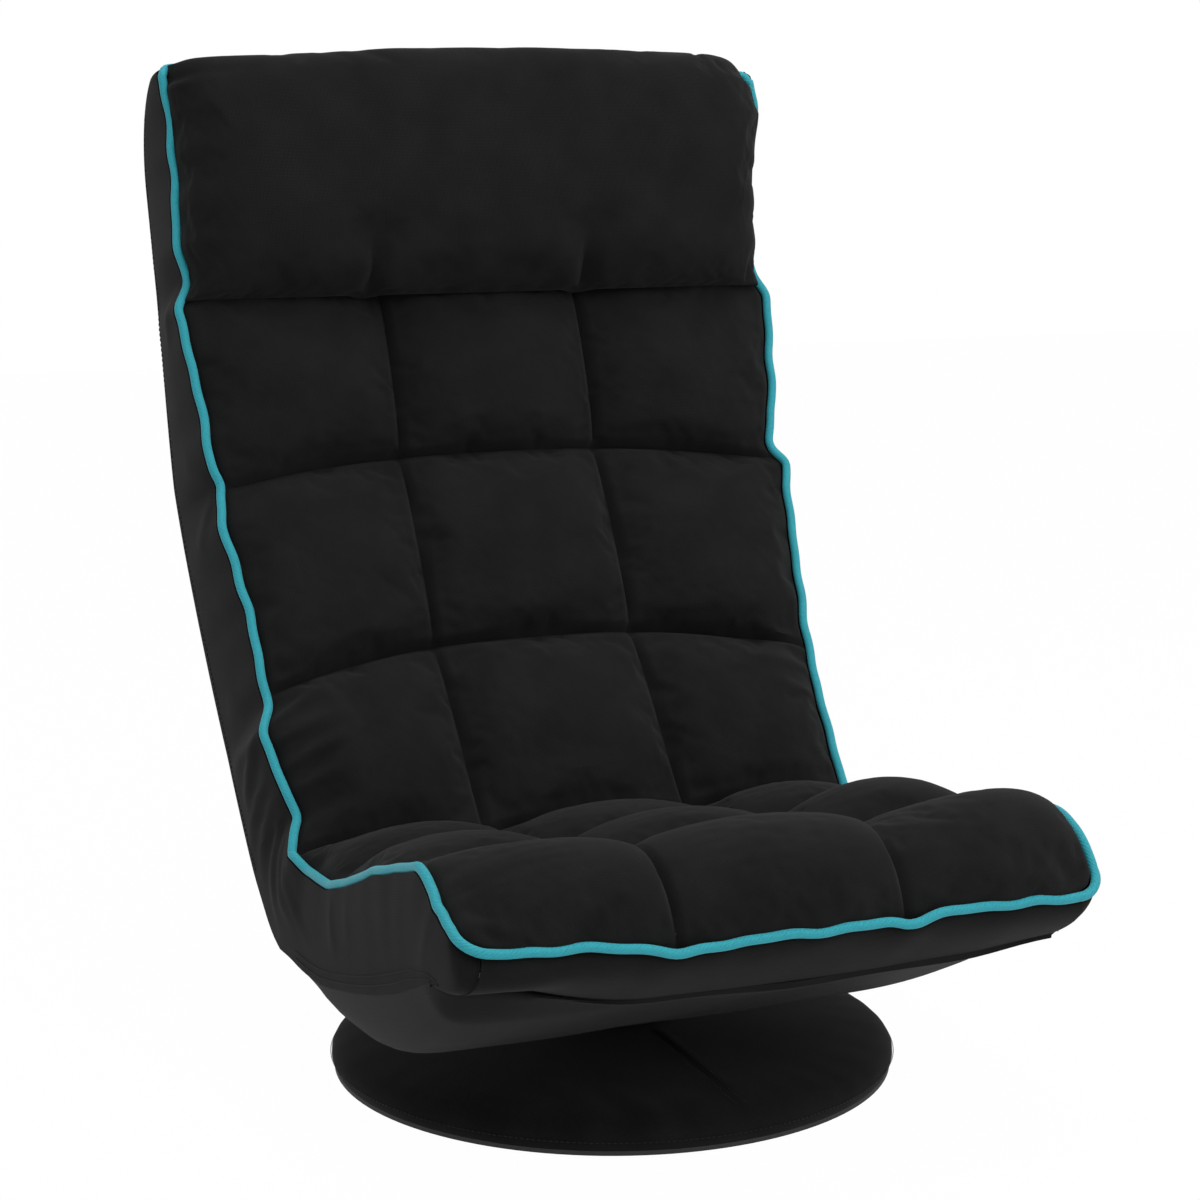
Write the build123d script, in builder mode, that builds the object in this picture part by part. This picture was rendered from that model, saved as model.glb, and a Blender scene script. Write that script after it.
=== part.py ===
from build123d import *
from math import cos, hypot, radians, sin, sqrt, tan
import os

os.makedirs("parts", exist_ok=True)

# A low gaming chair: a folding tufted scoop that swivels on a round base.
# It stands on the floor at z = 0, turns about the Z axis and faces -Y.

# Crease where seat and back meet
crease_y = 44.0
crease_z = 182.0

# Seat: an arc that leaves the crease almost level and rises to the front
seat_radius = 815.0
seat_tilt = 1.25
seat_rear_half = 238.0
seat_front_half = 253.5
seat_run = 340.0
seat_start = 18.0
seat_row_one = 118.0
seat_row_two = 222.0
seat_nose = 288.0
nose_radius = 60.0
nose_turn = 104.0
band_bulge_turn = 22.0
band_bulge = 1.0
seat_depth = 85.0
seat_rear_depth = 92.0

# Back: an arc that leaves the crease at this angle above level
back_radius = 1038.0
back_lean = 49.1
back_low_half = 240.0
back_top_half = 269.0
back_rise = 580.0
back_start = 33.0
back_row_three = 156.0
back_row_two = 320.0
back_row_one = 468.0
back_top = 645.0
back_depth = 84.0
back_mid_depth = 106.0
back_rail_depth = 112.0
back_low_depth = 110.0
shoulder_start = 556.0

# Sewn cover
cloth = 3.0
cloth_gap = 0.6
seam_gap = 0.4
piping_radius = 4.0
seat_cord_corner = 16.0
back_cord_corner = 18.0
panel_thickness = 8.0

# Tufted pads, measured out of the line of the piping
pad_floor = -30.0
column_line = 87.0
tuft_crown = 18.0
tuft_valley = -13.0
tuft_channel = -8.0
tuft_pit = -24.0
nose_core = 30.0
head_crown = 40.0
head_overhang = 6.0
head_corner = 16.0
crease_out = -6.0
waist_bulge_back = 35.0
waist_bulge_down = 68.0

# Foam and webbing
foam_thickness = 17.5
strap_thickness = 2.0
strap_width = 45.0
strap_step = 72.0
seat_straps_count = 3
back_straps_count = 5

# Tube frames
tube_radius = 9.5
tube_wall = 1.5
bar_radius = 8.0
seat_rail_x = 204.0
frame_corner = 42.0
seat_bar_at = 26.0
back_bar_at = 96.0
back_rail_start = 74.0
back_frame_top = 540.0

# Ratchet hinges
hinge_back = 18.0
hinge_down = 21.0
plate_thickness = 3.5
ratchet_thickness = 5.0
cheek_thickness = 2.5
leaf_gap = 0.5
ratchet_tip = 21.0
notch_depth = 4.6
notch_mouth = 3.8
notch_flank = 74.0
click_step = 15.0
click_count = 6
pawl_at = 270.0
pawl_lift = 0.5
pawl_nose = 5.2
pawl_root = 3.6
pawl_flank = 80.0
pawl_pivot_forward = 26.0
pawl_pivot_down = 20.0
pawl_thickness = 4.6
rivet_radius = 5.0
rivet_head = 8.0
rivet_head_height = 2.0
pin_radius = 3.0
running_gap = 0.05
leaf_width = 11.0
leaf_reach = 62.0

# Base
base_radius = 220.0
ring_tube = 8.0
base_panel_thickness = 4.0
base_cloth = 2.0
base_rim = 13.0
hub_radius = 65.0
hub_top = 34.0
hub_thickness = 6.0
arm_width = 30.0
arm_thickness = 5.0
arm_count = 4

# Swivel
race_radius = 43.0
race_gap = 1.5
lower_race_height = 8.0
upper_race_height = 14.5
ball_radius = 4.0
ball_count = 12
ball_circle = 31.0
ball_room = 0.15
cage_thickness = 0.8
spindle_radius = 8.0
spindle_head = 13.0
spindle_head_height = 6.0
nut_height = 8.0
nut_room = 2.0
plate_half = 66.0
plate_front = -86.0
plate_rear = 45.0
swivel_plate = 4.5
bolt_radius = 4.0
bolt_head = 6.5
bolt_head_height = 4.5
bolt_x = 52.0
bolt_front_y = -68.0
bolt_rear_y = -8.0
bolt_room = 0.3
bearer_width = 30.0
bearer_thickness = 5.0
bearer_flat = 92.0
bearer_foot = 186.0

# Values that follow from the ones above
cover_inset = cloth_gap + cloth + seam_gap
shelf = -piping_radius - seam_gap
foam_high = pad_floor - seam_gap
foam_low = foam_high - foam_thickness
strap_high = foam_low - seam_gap
strap_low = strap_high - strap_thickness
rail_out = strap_low - seam_gap - tube_radius
hinge_y = crease_y + hinge_back
hinge_z = crease_z - hinge_down
hinge = (hinge_y, hinge_z)
plate_x = seat_rail_x + tube_radius
ratchet_x = plate_x + plate_thickness + leaf_gap
cheek_x = ratchet_x + ratchet_thickness + leaf_gap
cheek_end = cheek_x + cheek_thickness
back_rail_x = ratchet_x - tube_radius
race_top = hub_top + lower_race_height
upper_bottom = race_top + race_gap
upper_top = upper_bottom + upper_race_height
ball_z = race_top + race_gap / 2
plate_top = upper_top + swivel_plate
belly_z = plate_top + seam_gap
bearer_bottom = belly_z + cloth + seam_gap
wide = 2 * (seat_front_half + back_top_half)


def seat_yz(along, out=0.0):
    """A point of the side view, along the seat from the crease and out of its piping line."""
    start = radians(seat_tilt)
    tilt = start + along / seat_radius
    reach = seat_radius - out
    return (
        crease_y + seat_radius * sin(start) - reach * sin(tilt),
        crease_z + seat_radius * cos(start) - reach * cos(tilt),
    )


def back_yz(along, out=0.0):
    """A point of the side view, up the back from the crease and out of its piping line."""
    start = radians(back_lean)
    lean = start + along / back_radius
    reach = back_radius - out
    return (
        crease_y - back_radius * sin(start) + reach * sin(lean),
        crease_z + back_radius * cos(start) - reach * cos(lean),
    )


def nose_yz(turn, radius):
    """A point round the front nose of the seat: 0 points out of the seat and 90 forward."""
    tilt = radians(seat_tilt) + seat_nose / seat_radius
    pivot_y, pivot_z = seat_yz(seat_nose, -nose_radius)
    angle = tilt - radians(turn)
    return (pivot_y + radius * sin(angle), pivot_z + radius * cos(angle))


def seat_half(y):
    """Half the width of the seat at y."""
    return seat_rear_half + (crease_y - y) * (seat_front_half - seat_rear_half) / seat_run


def back_half(z):
    """Half the width of the back at height z."""
    return back_low_half + (z - crease_z) * (back_top_half - back_low_half) / back_rise


def seat_plane(along):
    """Plane across the seat: its x is across the chair and its y out of the seat."""
    tilt = radians(seat_tilt) + along / seat_radius
    y, z = seat_yz(along)
    return Plane(origin=(0, y, z), x_dir=(1, 0, 0), z_dir=(0, -cos(tilt), sin(tilt)))


def back_plane(along):
    """Plane across the back: its x is across the chair and its y out of the back."""
    lean = radians(back_lean) + along / back_radius
    y, z = back_yz(along)
    return Plane(origin=(0, y, z), x_dir=(1, 0, 0), z_dir=(0, -cos(lean), -sin(lean)))


def nose_plane(turn):
    """Plane through the pivot line of the nose, with y pointing out of the pad."""
    y, z = nose_yz(0, 0)
    out_y, out_z = nose_yz(turn, 1)
    return Plane(origin=(0, y, z), x_dir=(1, 0, 0), z_dir=(0, z - out_z, out_y - y))


def seat_side(side, inset):
    """Plane parallel to one side of the seat, facing outwards."""
    slope = (seat_front_half - seat_rear_half) / seat_run
    return Plane(origin=(side * (seat_rear_half - inset), crease_y, 0), z_dir=(side, slope, 0))


def back_side(side, inset):
    """Plane parallel to one side of the back, facing outwards."""
    slope = (back_top_half - back_low_half) / back_rise
    return Plane(origin=(side * (back_low_half - inset), 0, crease_z), z_dir=(side, 0, -slope))


def tuft_section(plane, low_half, high_half, floor, edge, channel, crown):
    """Section across a tufted row: flat below, a ledge for the piping at each side, three crowned columns."""
    inner = high_half + cover_inset - cloth_gap - 2 * piping_radius - 2 * seam_gap
    outer_column = (column_line + inner) / 2
    with BuildSketch(plane) as section:
        with BuildLine():
            Polyline(
                (-inner, edge), (-high_half, edge), (-low_half, floor),
                (low_half, floor), (high_half, edge), (inner, edge),
            )
            ThreePointArc((inner, edge), (outer_column, crown), (column_line, channel))
            ThreePointArc((column_line, channel), (0, crown), (-column_line, channel))
            ThreePointArc((-column_line, channel), (-outer_column, crown), (-inner, edge))
        make_face()
    return section.sketch


def back_section(along, share):
    """Section of the back pad, from 0 in a row's seam to 1 on its crown."""
    return tuft_section(
        back_plane(along),
        back_half(back_yz(along, pad_floor)[1]) - cover_inset,
        back_half(back_yz(along, shelf)[1]) - cover_inset,
        pad_floor,
        shelf,
        tuft_pit + share * (tuft_channel - tuft_pit),
        tuft_valley + share * (tuft_crown - tuft_valley),
    )


def seat_section(along, share):
    """Section of the seat pad, from 0 in a row's seam to 1 on its crown."""
    return tuft_section(
        seat_plane(along),
        seat_half(seat_yz(along, pad_floor)[0]) - cover_inset,
        seat_half(seat_yz(along, shelf)[0]) - cover_inset,
        pad_floor,
        shelf,
        tuft_pit + share * (tuft_channel - tuft_pit),
        tuft_valley + share * (tuft_crown - tuft_valley),
    )


def nose_section(turn, share):
    """Section of the seat pad where it goes round the nose."""
    return tuft_section(
        nose_plane(turn),
        seat_half(nose_yz(turn, nose_core)[0]) - cover_inset,
        seat_half(nose_yz(turn, nose_radius + shelf)[0]) - cover_inset,
        nose_core,
        nose_radius + shelf,
        nose_radius + tuft_pit + share * (tuft_channel - tuft_pit),
        nose_radius + tuft_valley + share * (tuft_crown - tuft_valley),
    )


def row_levels(start, end):
    """Places of the five sections of a tufted row, with how far each is up its crown."""
    step = (end - start) / 4
    return [(start, 0.0), (start + step, 0.78), (start + 2 * step, 1.0), (end - step, 0.78), (end, 0.0)]


def layer(place, start, end, low, high):
    """Side view of one layer of the scoop, between two places along it and two heights out of it."""
    middle = (start + end) / 2
    with BuildSketch(Plane.YZ) as outline:
        with BuildLine():
            ThreePointArc(place(start, high), place(middle, high), place(end, high))
            Line(place(end, high), place(end, low))
            ThreePointArc(place(end, low), place(middle, low), place(start, low))
            Line(place(start, low), place(start, high))
        make_face()
    return outline.sketch


def at(x, point):
    """A point of the side view at x across the chair."""
    return (x, point[0], point[1])


def corner_path(first, tangent, reach):
    """Ends of a round corner that leaves `first` along its tangent and turns across the chair."""
    length = sqrt(sum(part * part for part in tangent))
    step = [reach * part / length for part in tangent]
    corner = [first[i] + step[i] for i in range(3)]
    across = -reach if corner[0] > 0 else reach
    return (corner[0] + across, corner[1], corner[2])


def ring_section(path, outer, wall):
    """Ring section of a tube, square to the start of its path."""
    plane = Plane(origin=path @ 0, z_dir=path % 0)
    with BuildSketch(plane) as section:
        Circle(outer)
        if wall > 0:
            Circle(outer - wall, mode=Mode.SUBTRACT)
    return section.sketch


# Base: panel, tube ring, arms, hub and the sewn dome over them
with BuildPart() as base_panel:
    Cylinder(
        base_radius - base_cloth - seam_gap, base_panel_thickness,
        align=(Align.CENTER, Align.CENTER, Align.MIN),
    )
base_panel.part.label = "base_panel"
export_step(base_panel.part, "parts/base_panel.step")

ring_circle = base_radius - base_cloth - seam_gap - ring_tube
ring_z = base_panel_thickness + ring_tube
with BuildPart() as base_ring:
    with BuildSketch(Plane.XZ):
        with Locations((ring_circle, ring_z)):
            Circle(ring_tube)
            Circle(ring_tube - tube_wall, mode=Mode.SUBTRACT)
    revolve(axis=Axis.Z)
base_ring.part.label = "base_ring"
export_step(base_ring.part, "parts/base_ring.step")

hub_bottom = hub_top - hub_thickness
arm_root = hub_radius - 20
arm_tip = sqrt((ring_circle - ring_tube) ** 2 - arm_width**2 / 4) - seam_gap / 2
with BuildPart() as base_arms:
    with BuildSketch(Plane.XZ):
        with BuildLine():
            Polyline(
                (arm_root, hub_bottom), (hub_radius, hub_bottom),
                (arm_tip, ring_z + arm_thickness / 2),
                (arm_tip, ring_z - arm_thickness / 2),
                (hub_radius, hub_bottom - arm_thickness), (arm_root, hub_bottom - arm_thickness),
                close=True,
            )
        make_face()
    extrude(amount=arm_width / 2, both=True)
    fillet(base_arms.edges().filter_by(Axis.Z).group_by(Axis.X)[0], radius=arm_width / 6)
arm_solid = base_arms.part
with BuildPart() as base_arm_set:
    with PolarLocations(0, arm_count, start_angle=45):
        add(arm_solid)
base_arm_set.part.label = "base_arms"
export_step(base_arm_set.part, "parts/base_arms.step")

with BuildPart() as base_hub:
    with Locations((0, 0, hub_bottom)):
        Cylinder(hub_radius, hub_thickness, align=(Align.CENTER, Align.CENTER, Align.MIN))
        Cylinder(
            spindle_radius + running_gap, hub_thickness,
            align=(Align.CENTER, Align.CENTER, Align.MIN), mode=Mode.SUBTRACT,
        )
    fillet(base_hub.edges().group_by(Axis.Z)[-1].sort_by(SortBy.LENGTH)[-1], radius=2)
base_hub.part.label = "base_hub"
export_step(base_hub.part, "parts/base_hub.step")

cover_in = base_radius - base_cloth
cover_low = 0.6
dome_top = hub_top + seam_gap
dome_hole = race_radius + 3
with BuildPart() as base_cover:
    with BuildSketch(Plane.XZ):
        with BuildLine():
            shoulder_r = base_radius - 12
            rise = 2 * ring_tube + base_panel_thickness + seam_gap + base_cloth
            Line((cover_in, cover_low), (base_radius, cover_low))
            Line((base_radius, cover_low), (base_radius, base_rim))
            ThreePointArc(
                (base_radius, base_rim), (base_radius - 3.6, rise - 2.4), (shoulder_r, rise),
            )
            Line((shoulder_r, rise), (hub_radius + 6, dome_top + base_cloth))
            Line((hub_radius + 6, dome_top + base_cloth), (dome_hole, dome_top + base_cloth))
            Line((dome_hole, dome_top + base_cloth), (dome_hole, dome_top))
            Line((dome_hole, dome_top), (hub_radius + 6, dome_top))
            Line((hub_radius + 6, dome_top), (shoulder_r, rise - base_cloth))
            ThreePointArc(
                (shoulder_r, rise - base_cloth),
                (base_radius - 3.6 - 0.7 * base_cloth, rise - 2.4 - 0.7 * base_cloth),
                (cover_in, base_rim),
            )
            Line((cover_in, base_rim), (cover_in, cover_low))
        make_face()
    revolve(axis=Axis.Z)
base_cover.part.label = "base_cover"
export_step(base_cover.part, "parts/base_cover.step")

# Swivel: two races with a ring of caged balls round a spindle
with BuildPart() as swivel_lower_race:
    with BuildSketch(Plane.XZ):
        with Locations(((spindle_radius + running_gap + race_radius) / 2, (hub_top + race_top) / 2)):
            Rectangle(race_radius - spindle_radius - running_gap, lower_race_height)
        with Locations((ball_circle, ball_z)):
            Circle(ball_radius + ball_room, mode=Mode.SUBTRACT)
    revolve(axis=Axis.Z)
swivel_lower_race.part.label = "swivel_lower_race"
export_step(swivel_lower_race.part, "parts/swivel_lower_race.step")

nut_radius = spindle_head
nut_bottom = upper_top - nut_height - nut_room
pocket_floor = nut_bottom - seam_gap
with BuildPart() as swivel_upper_race:
    with BuildSketch(Plane.XZ):
        with Locations(((spindle_radius + running_gap + race_radius) / 2, (upper_bottom + upper_top) / 2)):
            Rectangle(race_radius - spindle_radius - running_gap, upper_race_height)
        with Locations((ball_circle, ball_z)):
            Circle(ball_radius + ball_room, mode=Mode.SUBTRACT)
        with Locations(((nut_radius + nut_room) / 2, (pocket_floor + upper_top) / 2)):
            Rectangle(nut_radius + nut_room, upper_top - pocket_floor, mode=Mode.SUBTRACT)
    revolve(axis=Axis.Z)
swivel_upper_race.part.label = "swivel_upper_race"
export_step(swivel_upper_race.part, "parts/swivel_upper_race.step")

with BuildPart() as ball_cage:
    with BuildSketch(Plane.XY.offset(ball_z - cage_thickness / 2)):
        Circle(ball_circle + 1.6 * ball_radius)
        Circle(ball_circle - 1.6 * ball_radius, mode=Mode.SUBTRACT)
        with PolarLocations(ball_circle, ball_count):
            Circle(ball_radius + 2 * ball_room, mode=Mode.SUBTRACT)
    extrude(amount=cage_thickness)
ball_cage.part.label = "ball_cage"
export_step(ball_cage.part, "parts/ball_cage.step")

with BuildPart() as bearing_balls:
    with Locations((0, 0, ball_z)):
        with PolarLocations(ball_circle, ball_count):
            Sphere(ball_radius)
bearing_balls.part.label = "bearing_balls"
export_step(bearing_balls.part, "parts/bearing_balls.step")

with BuildPart() as swivel_spindle:
    with Locations((0, 0, hub_bottom - spindle_head_height)):
        Cylinder(spindle_head, spindle_head_height, align=(Align.CENTER, Align.CENTER, Align.MIN))
    with Locations((0, 0, hub_bottom)):
        Cylinder(
            spindle_radius, upper_top - nut_room / 2 - hub_bottom,
            align=(Align.CENTER, Align.CENTER, Align.MIN),
        )
swivel_spindle.part.label = "swivel_spindle"
export_step(swivel_spindle.part, "parts/swivel_spindle.step")

with BuildPart() as spindle_nut:
    with BuildSketch(Plane.XY.offset(nut_bottom)):
        RegularPolygon(nut_radius, 6)
        Circle(spindle_radius, mode=Mode.SUBTRACT)
    extrude(amount=nut_height)
spindle_nut.part.label = "spindle_nut"
export_step(spindle_nut.part, "parts/spindle_nut.step")

bolt_spots = [
    (x, y) for x in (-bolt_x, bolt_x) for y in (bolt_front_y, bolt_rear_y)
]
with BuildPart() as seat_swivel_plate:
    with BuildSketch(Plane.XY.offset(upper_top)):
        with Locations((0, (plate_front + plate_rear) / 2)):
            RectangleRounded(2 * plate_half, plate_rear - plate_front, 12)
        with Locations(*bolt_spots):
            Circle(bolt_radius + bolt_room, mode=Mode.SUBTRACT)
    extrude(amount=swivel_plate)
seat_swivel_plate.part.label = "swivel_plate"
export_step(seat_swivel_plate.part, "parts/swivel_plate.step")

bearer_top = bearer_bottom + bearer_thickness
with BuildPart() as swivel_bolts:
    with Locations(*[(x, y, upper_top - bolt_head_height) for x, y in bolt_spots]):
        Cylinder(bolt_head, bolt_head_height, align=(Align.CENTER, Align.CENTER, Align.MIN))
        Cylinder(
            bolt_radius, bearer_top + 2.2 * bolt_radius - upper_top + bolt_head_height,
            align=(Align.CENTER, Align.CENTER, Align.MIN),
        )
    fillet(swivel_bolts.edges().group_by(Axis.Z)[0], radius=bolt_head_height / 3)
swivel_bolts.part.label = "swivel_bolts"
export_step(swivel_bolts.part, "parts/swivel_bolts.step")

with BuildPart() as swivel_nuts:
    with BuildSketch(Plane.XY.offset(bearer_top)):
        with Locations(*bolt_spots):
            RegularPolygon(bolt_head, 6)
            Circle(bolt_radius, mode=Mode.SUBTRACT)
    extrude(amount=1.6 * bolt_radius)
swivel_nuts.part.label = "swivel_nuts"
export_step(swivel_nuts.part, "parts/swivel_nuts.step")

# Seat frame: a bent tube round three sides, a rear bar and two bearers down to the swivel
seat_rail_start = 14.0
seat_rail_end = seat_nose - frame_corner
front_tilt = radians(seat_tilt) + seat_rail_end / seat_radius
rail_forward = (0, -cos(front_tilt), sin(front_tilt))
rail_middle = (seat_rail_start + seat_rail_end) / 2
with BuildPart() as seat_frame:
    with BuildLine() as seat_tube:
        ends = []
        for side in (-1, 1):
            x = side * seat_rail_x
            ThreePointArc(
                at(x, seat_yz(seat_rail_start, rail_out)),
                at(x, seat_yz(rail_middle, rail_out)),
                at(x, seat_yz(seat_rail_end, rail_out)),
            )
            turn_start = at(x, seat_yz(seat_rail_end, rail_out))
            turn_end = corner_path(turn_start, rail_forward, frame_corner)
            TangentArc(turn_start, turn_end, tangent=rail_forward)
            ends.append(turn_end)
        Line(*ends)
    seat_tube_wire = seat_tube.wires()[0]
    sweep(sections=ring_section(seat_tube_wire, tube_radius, tube_wall), path=seat_tube_wire)
seat_frame.part.label = "seat_frame"
export_step(seat_frame.part, "parts/seat_frame.step")

seat_bar_half = seat_rail_x - tube_radius - seam_gap
bar_y, bar_z = seat_yz(seat_bar_at, rail_out)
with BuildPart() as seat_rear_bar:
    with BuildSketch(Plane.YZ):
        with Locations((bar_y, bar_z)):
            Circle(bar_radius)
            Circle(bar_radius - tube_wall, mode=Mode.SUBTRACT)
    extrude(amount=seat_bar_half, both=True)
seat_rear_bar.part.label = "seat_rear_bar"
export_step(seat_rear_bar.part, "parts/seat_rear_bar.step")

rail_centre = seat_yz(0, seat_radius)
with BuildPart() as seat_bearers:
    for bearer_y in (bolt_front_y, bolt_rear_y):
        rear_edge = rail_centre[0] - bearer_y - bearer_width / 2
        foot = rail_centre[1] - sqrt((seat_radius - rail_out) ** 2 - rear_edge**2) - tube_radius - seam_gap
        run = seat_rail_x + tube_radius
        with BuildSketch(Plane.XZ.offset(-bearer_y)):
            with BuildLine():
                Polyline(
                    (-run, foot), (-bearer_foot, foot), (-bearer_flat, bearer_top), (bearer_flat, bearer_top),
                    (bearer_foot, foot), (run, foot), (run, foot - bearer_thickness),
                    (bearer_foot, foot - bearer_thickness), (bearer_flat, bearer_bottom),
                    (-bearer_flat, bearer_bottom), (-bearer_foot, foot - bearer_thickness),
                    (-run, foot - bearer_thickness), close=True,
                )
            make_face()
        extrude(amount=bearer_width / 2, both=True)
    with Locations(*[(x, y, bearer_bottom) for x, y in bolt_spots]):
        Cylinder(
            bolt_radius + bolt_room, bearer_thickness,
            align=(Align.CENTER, Align.CENTER, Align.MIN), mode=Mode.SUBTRACT,
        )
seat_bearers.part.label = "seat_bearers"
export_step(seat_bearers.part, "parts/seat_bearers.step")

# Webbing, foam and pad of the seat
strap_half = seat_rail_x + tube_radius
with BuildPart() as seat_straps:
    for number in range(seat_straps_count):
        strap_at = seat_row_one - strap_width / 2 + number * strap_step
        extrude(
            layer(seat_yz, strap_at - strap_width / 2, strap_at + strap_width / 2, strap_low, strap_high),
            amount=strap_half, both=True,
        )
seat_straps.part.label = "seat_straps"
export_step(seat_straps.part, "parts/seat_straps.step")

foam_front = (seat_row_two + seat_nose) / 2
pocket_end = seat_rail_start + leaf_reach + 2 * leaf_width
pocket_half = seat_rail_x - tube_radius - seam_gap
with BuildPart() as seat_foam:
    extrude(layer(seat_yz, seat_start, foam_front, foam_low, foam_high), amount=wide / 2, both=True)
    for side in (-1, 1):
        split(bisect_by=seat_side(side, cover_inset + seam_gap), keep=Keep.BOTTOM)
    hinge_pockets = extrude(
        layer(seat_yz, -seat_start, pocket_end, foam_low - seam_gap, foam_high + seam_gap),
        amount=wide / 2, both=True, mode=Mode.PRIVATE,
    )
    middle_strip = extrude(
        layer(seat_yz, -seat_start, pocket_end, foam_low - seam_gap, foam_high + seam_gap),
        amount=pocket_half, both=True, mode=Mode.PRIVATE,
    )
    add(hinge_pockets - middle_strip, mode=Mode.SUBTRACT)
seat_foam.part.label = "seat_foam"
export_step(seat_foam.part, "parts/seat_foam.step")

nose_step = nose_turn / 3
with BuildPart() as seat_pad:
    loft(sections=[seat_section(*level) for level in row_levels(seat_start, seat_row_one)])
    loft(sections=[seat_section(*level) for level in row_levels(seat_row_one, seat_row_two)])
    loft(
        sections=[
            seat_section(seat_row_two, 0.0),
            seat_section(seat_row_two + (seat_nose - seat_row_two) / 4, 0.45),
            seat_section((seat_row_two + seat_nose) / 2, 0.75),
            nose_section(0.0, 0.95),
            nose_section(nose_step, 1.0),
            nose_section(2 * nose_step, 0.75),
            nose_section(nose_turn, 0.0),
        ]
    )
seat_pad.part.label = "seat_pad"
export_step(seat_pad.part, "parts/seat_pad.step")

# Sewn cover of the seat
band_low = seat_yz(seat_nose + 12, -seat_depth - 12)
gusset_bend = (seat_start + seat_row_one) / 2
with BuildPart() as seat_gusset_right:
    with BuildSketch(Plane.YZ):
        with BuildLine():
            edge = nose_radius + shelf
            ThreePointArc(
                seat_yz(seat_start, shelf), seat_yz(seat_nose / 2, shelf), seat_yz(seat_nose, shelf),
            )
            ThreePointArc(seat_yz(seat_nose, shelf), nose_yz(nose_turn / 2, edge), nose_yz(nose_turn, edge))
            Line(nose_yz(nose_turn, edge), band_low)
            ThreePointArc(band_low, seat_yz(seat_row_two, -seat_depth), seat_yz(gusset_bend, -seat_depth))
            Line(seat_yz(gusset_bend, -seat_depth), seat_yz(seat_start, -seat_rear_depth))
            Line(seat_yz(seat_start, -seat_rear_depth), seat_yz(seat_start, shelf))
        make_face()
    extrude(amount=wide / 2)
    split(bisect_by=seat_side(1, cloth_gap), keep=Keep.BOTTOM)
    split(bisect_by=seat_side(1, cloth_gap + cloth), keep=Keep.TOP)
seat_gusset_right.part.label = "seat_gusset_right"
export_step(seat_gusset_right.part, "parts/seat_gusset_right.step")

with BuildPart() as seat_gusset_left:
    mirror(seat_gusset_right.part, about=Plane.YZ)
seat_gusset_left.part.label = "seat_gusset_left"
export_step(seat_gusset_left.part, "parts/seat_gusset_left.step")

# Front band under the nose, between the side gussets
front_top = nose_yz(nose_turn + 1, nose_radius + shelf)
front_top_inner = nose_yz(nose_turn + 1, nose_radius + shelf - cloth)
front_bulge = nose_yz(nose_turn + band_bulge_turn, nose_radius + shelf - band_bulge)
front_bulge_inner = nose_yz(nose_turn + band_bulge_turn, nose_radius + shelf - band_bulge - cloth)
band_inner = (band_low[0] + 0.5 * cloth, band_low[1] + cloth)
with BuildPart() as seat_gusset_front:
    with BuildSketch(Plane.YZ):
        with BuildLine():
            ThreePointArc(front_top, front_bulge, band_low)
            Line(band_low, band_inner)
            ThreePointArc(band_inner, front_bulge_inner, front_top_inner)
            Line(front_top_inner, front_top)
        make_face()
    extrude(amount=wide / 2, both=True)
    for side in (-1, 1):
        split(bisect_by=seat_side(side, cover_inset), keep=Keep.BOTTOM)
seat_gusset_front.part.label = "seat_gusset_front"
export_step(seat_gusset_front.part, "parts/seat_gusset_front.step")


def belly_section(along, depth, bottom_z, flat_share):
    """Thin trough section of the belly cover that hangs inside the gussets."""
    tilt = radians(seat_tilt) + along / seat_radius
    top = -depth + 2 * cloth
    bottom = -(seat_yz(along)[1] - bottom_z) / cos(tilt)
    half = seat_half(seat_yz(along, top)[0]) - cover_inset - seam_gap
    flat = flat_share * half
    with BuildSketch(seat_plane(along)) as section:
        with BuildLine():
            Polyline(
                (-half, top), (-flat, bottom), (flat, bottom), (half, top),
                (half - cloth, top), (flat - cloth / 2, bottom + cloth),
                (-flat + cloth / 2, bottom + cloth), (-half + cloth, top), close=True,
            )
        make_face()
    return section.sketch


belly_front_z = band_low[1] + cloth
with BuildPart() as seat_belly:
    loft(
        sections=[
            belly_section(seat_start, seat_rear_depth, belly_z + 20, 0.78),
            belly_section(seat_start + 10, seat_rear_depth + 2, belly_z, 0.76),
            belly_section(seat_row_one - 6, seat_depth, belly_z, 0.76),
            belly_section((seat_row_one + seat_row_two) / 2 + 20, seat_depth, belly_z + 17, 0.80),
            belly_section(seat_row_two + 22, seat_depth, belly_z + 46, 0.86),
            belly_section(seat_nose + 6, seat_depth + 2, belly_front_z, 0.93),
        ],
        ruled=True,
    )
    with Locations(*[(x, y, belly_z) for x, y in bolt_spots]):
        Cylinder(
            bolt_radius + bolt_room, 2 * cloth,
            align=(Align.CENTER, Align.CENTER, Align.CENTER), mode=Mode.SUBTRACT,
        )
seat_belly.part.label = "seat_belly"
export_step(seat_belly.part, "parts/seat_belly.step")

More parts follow.
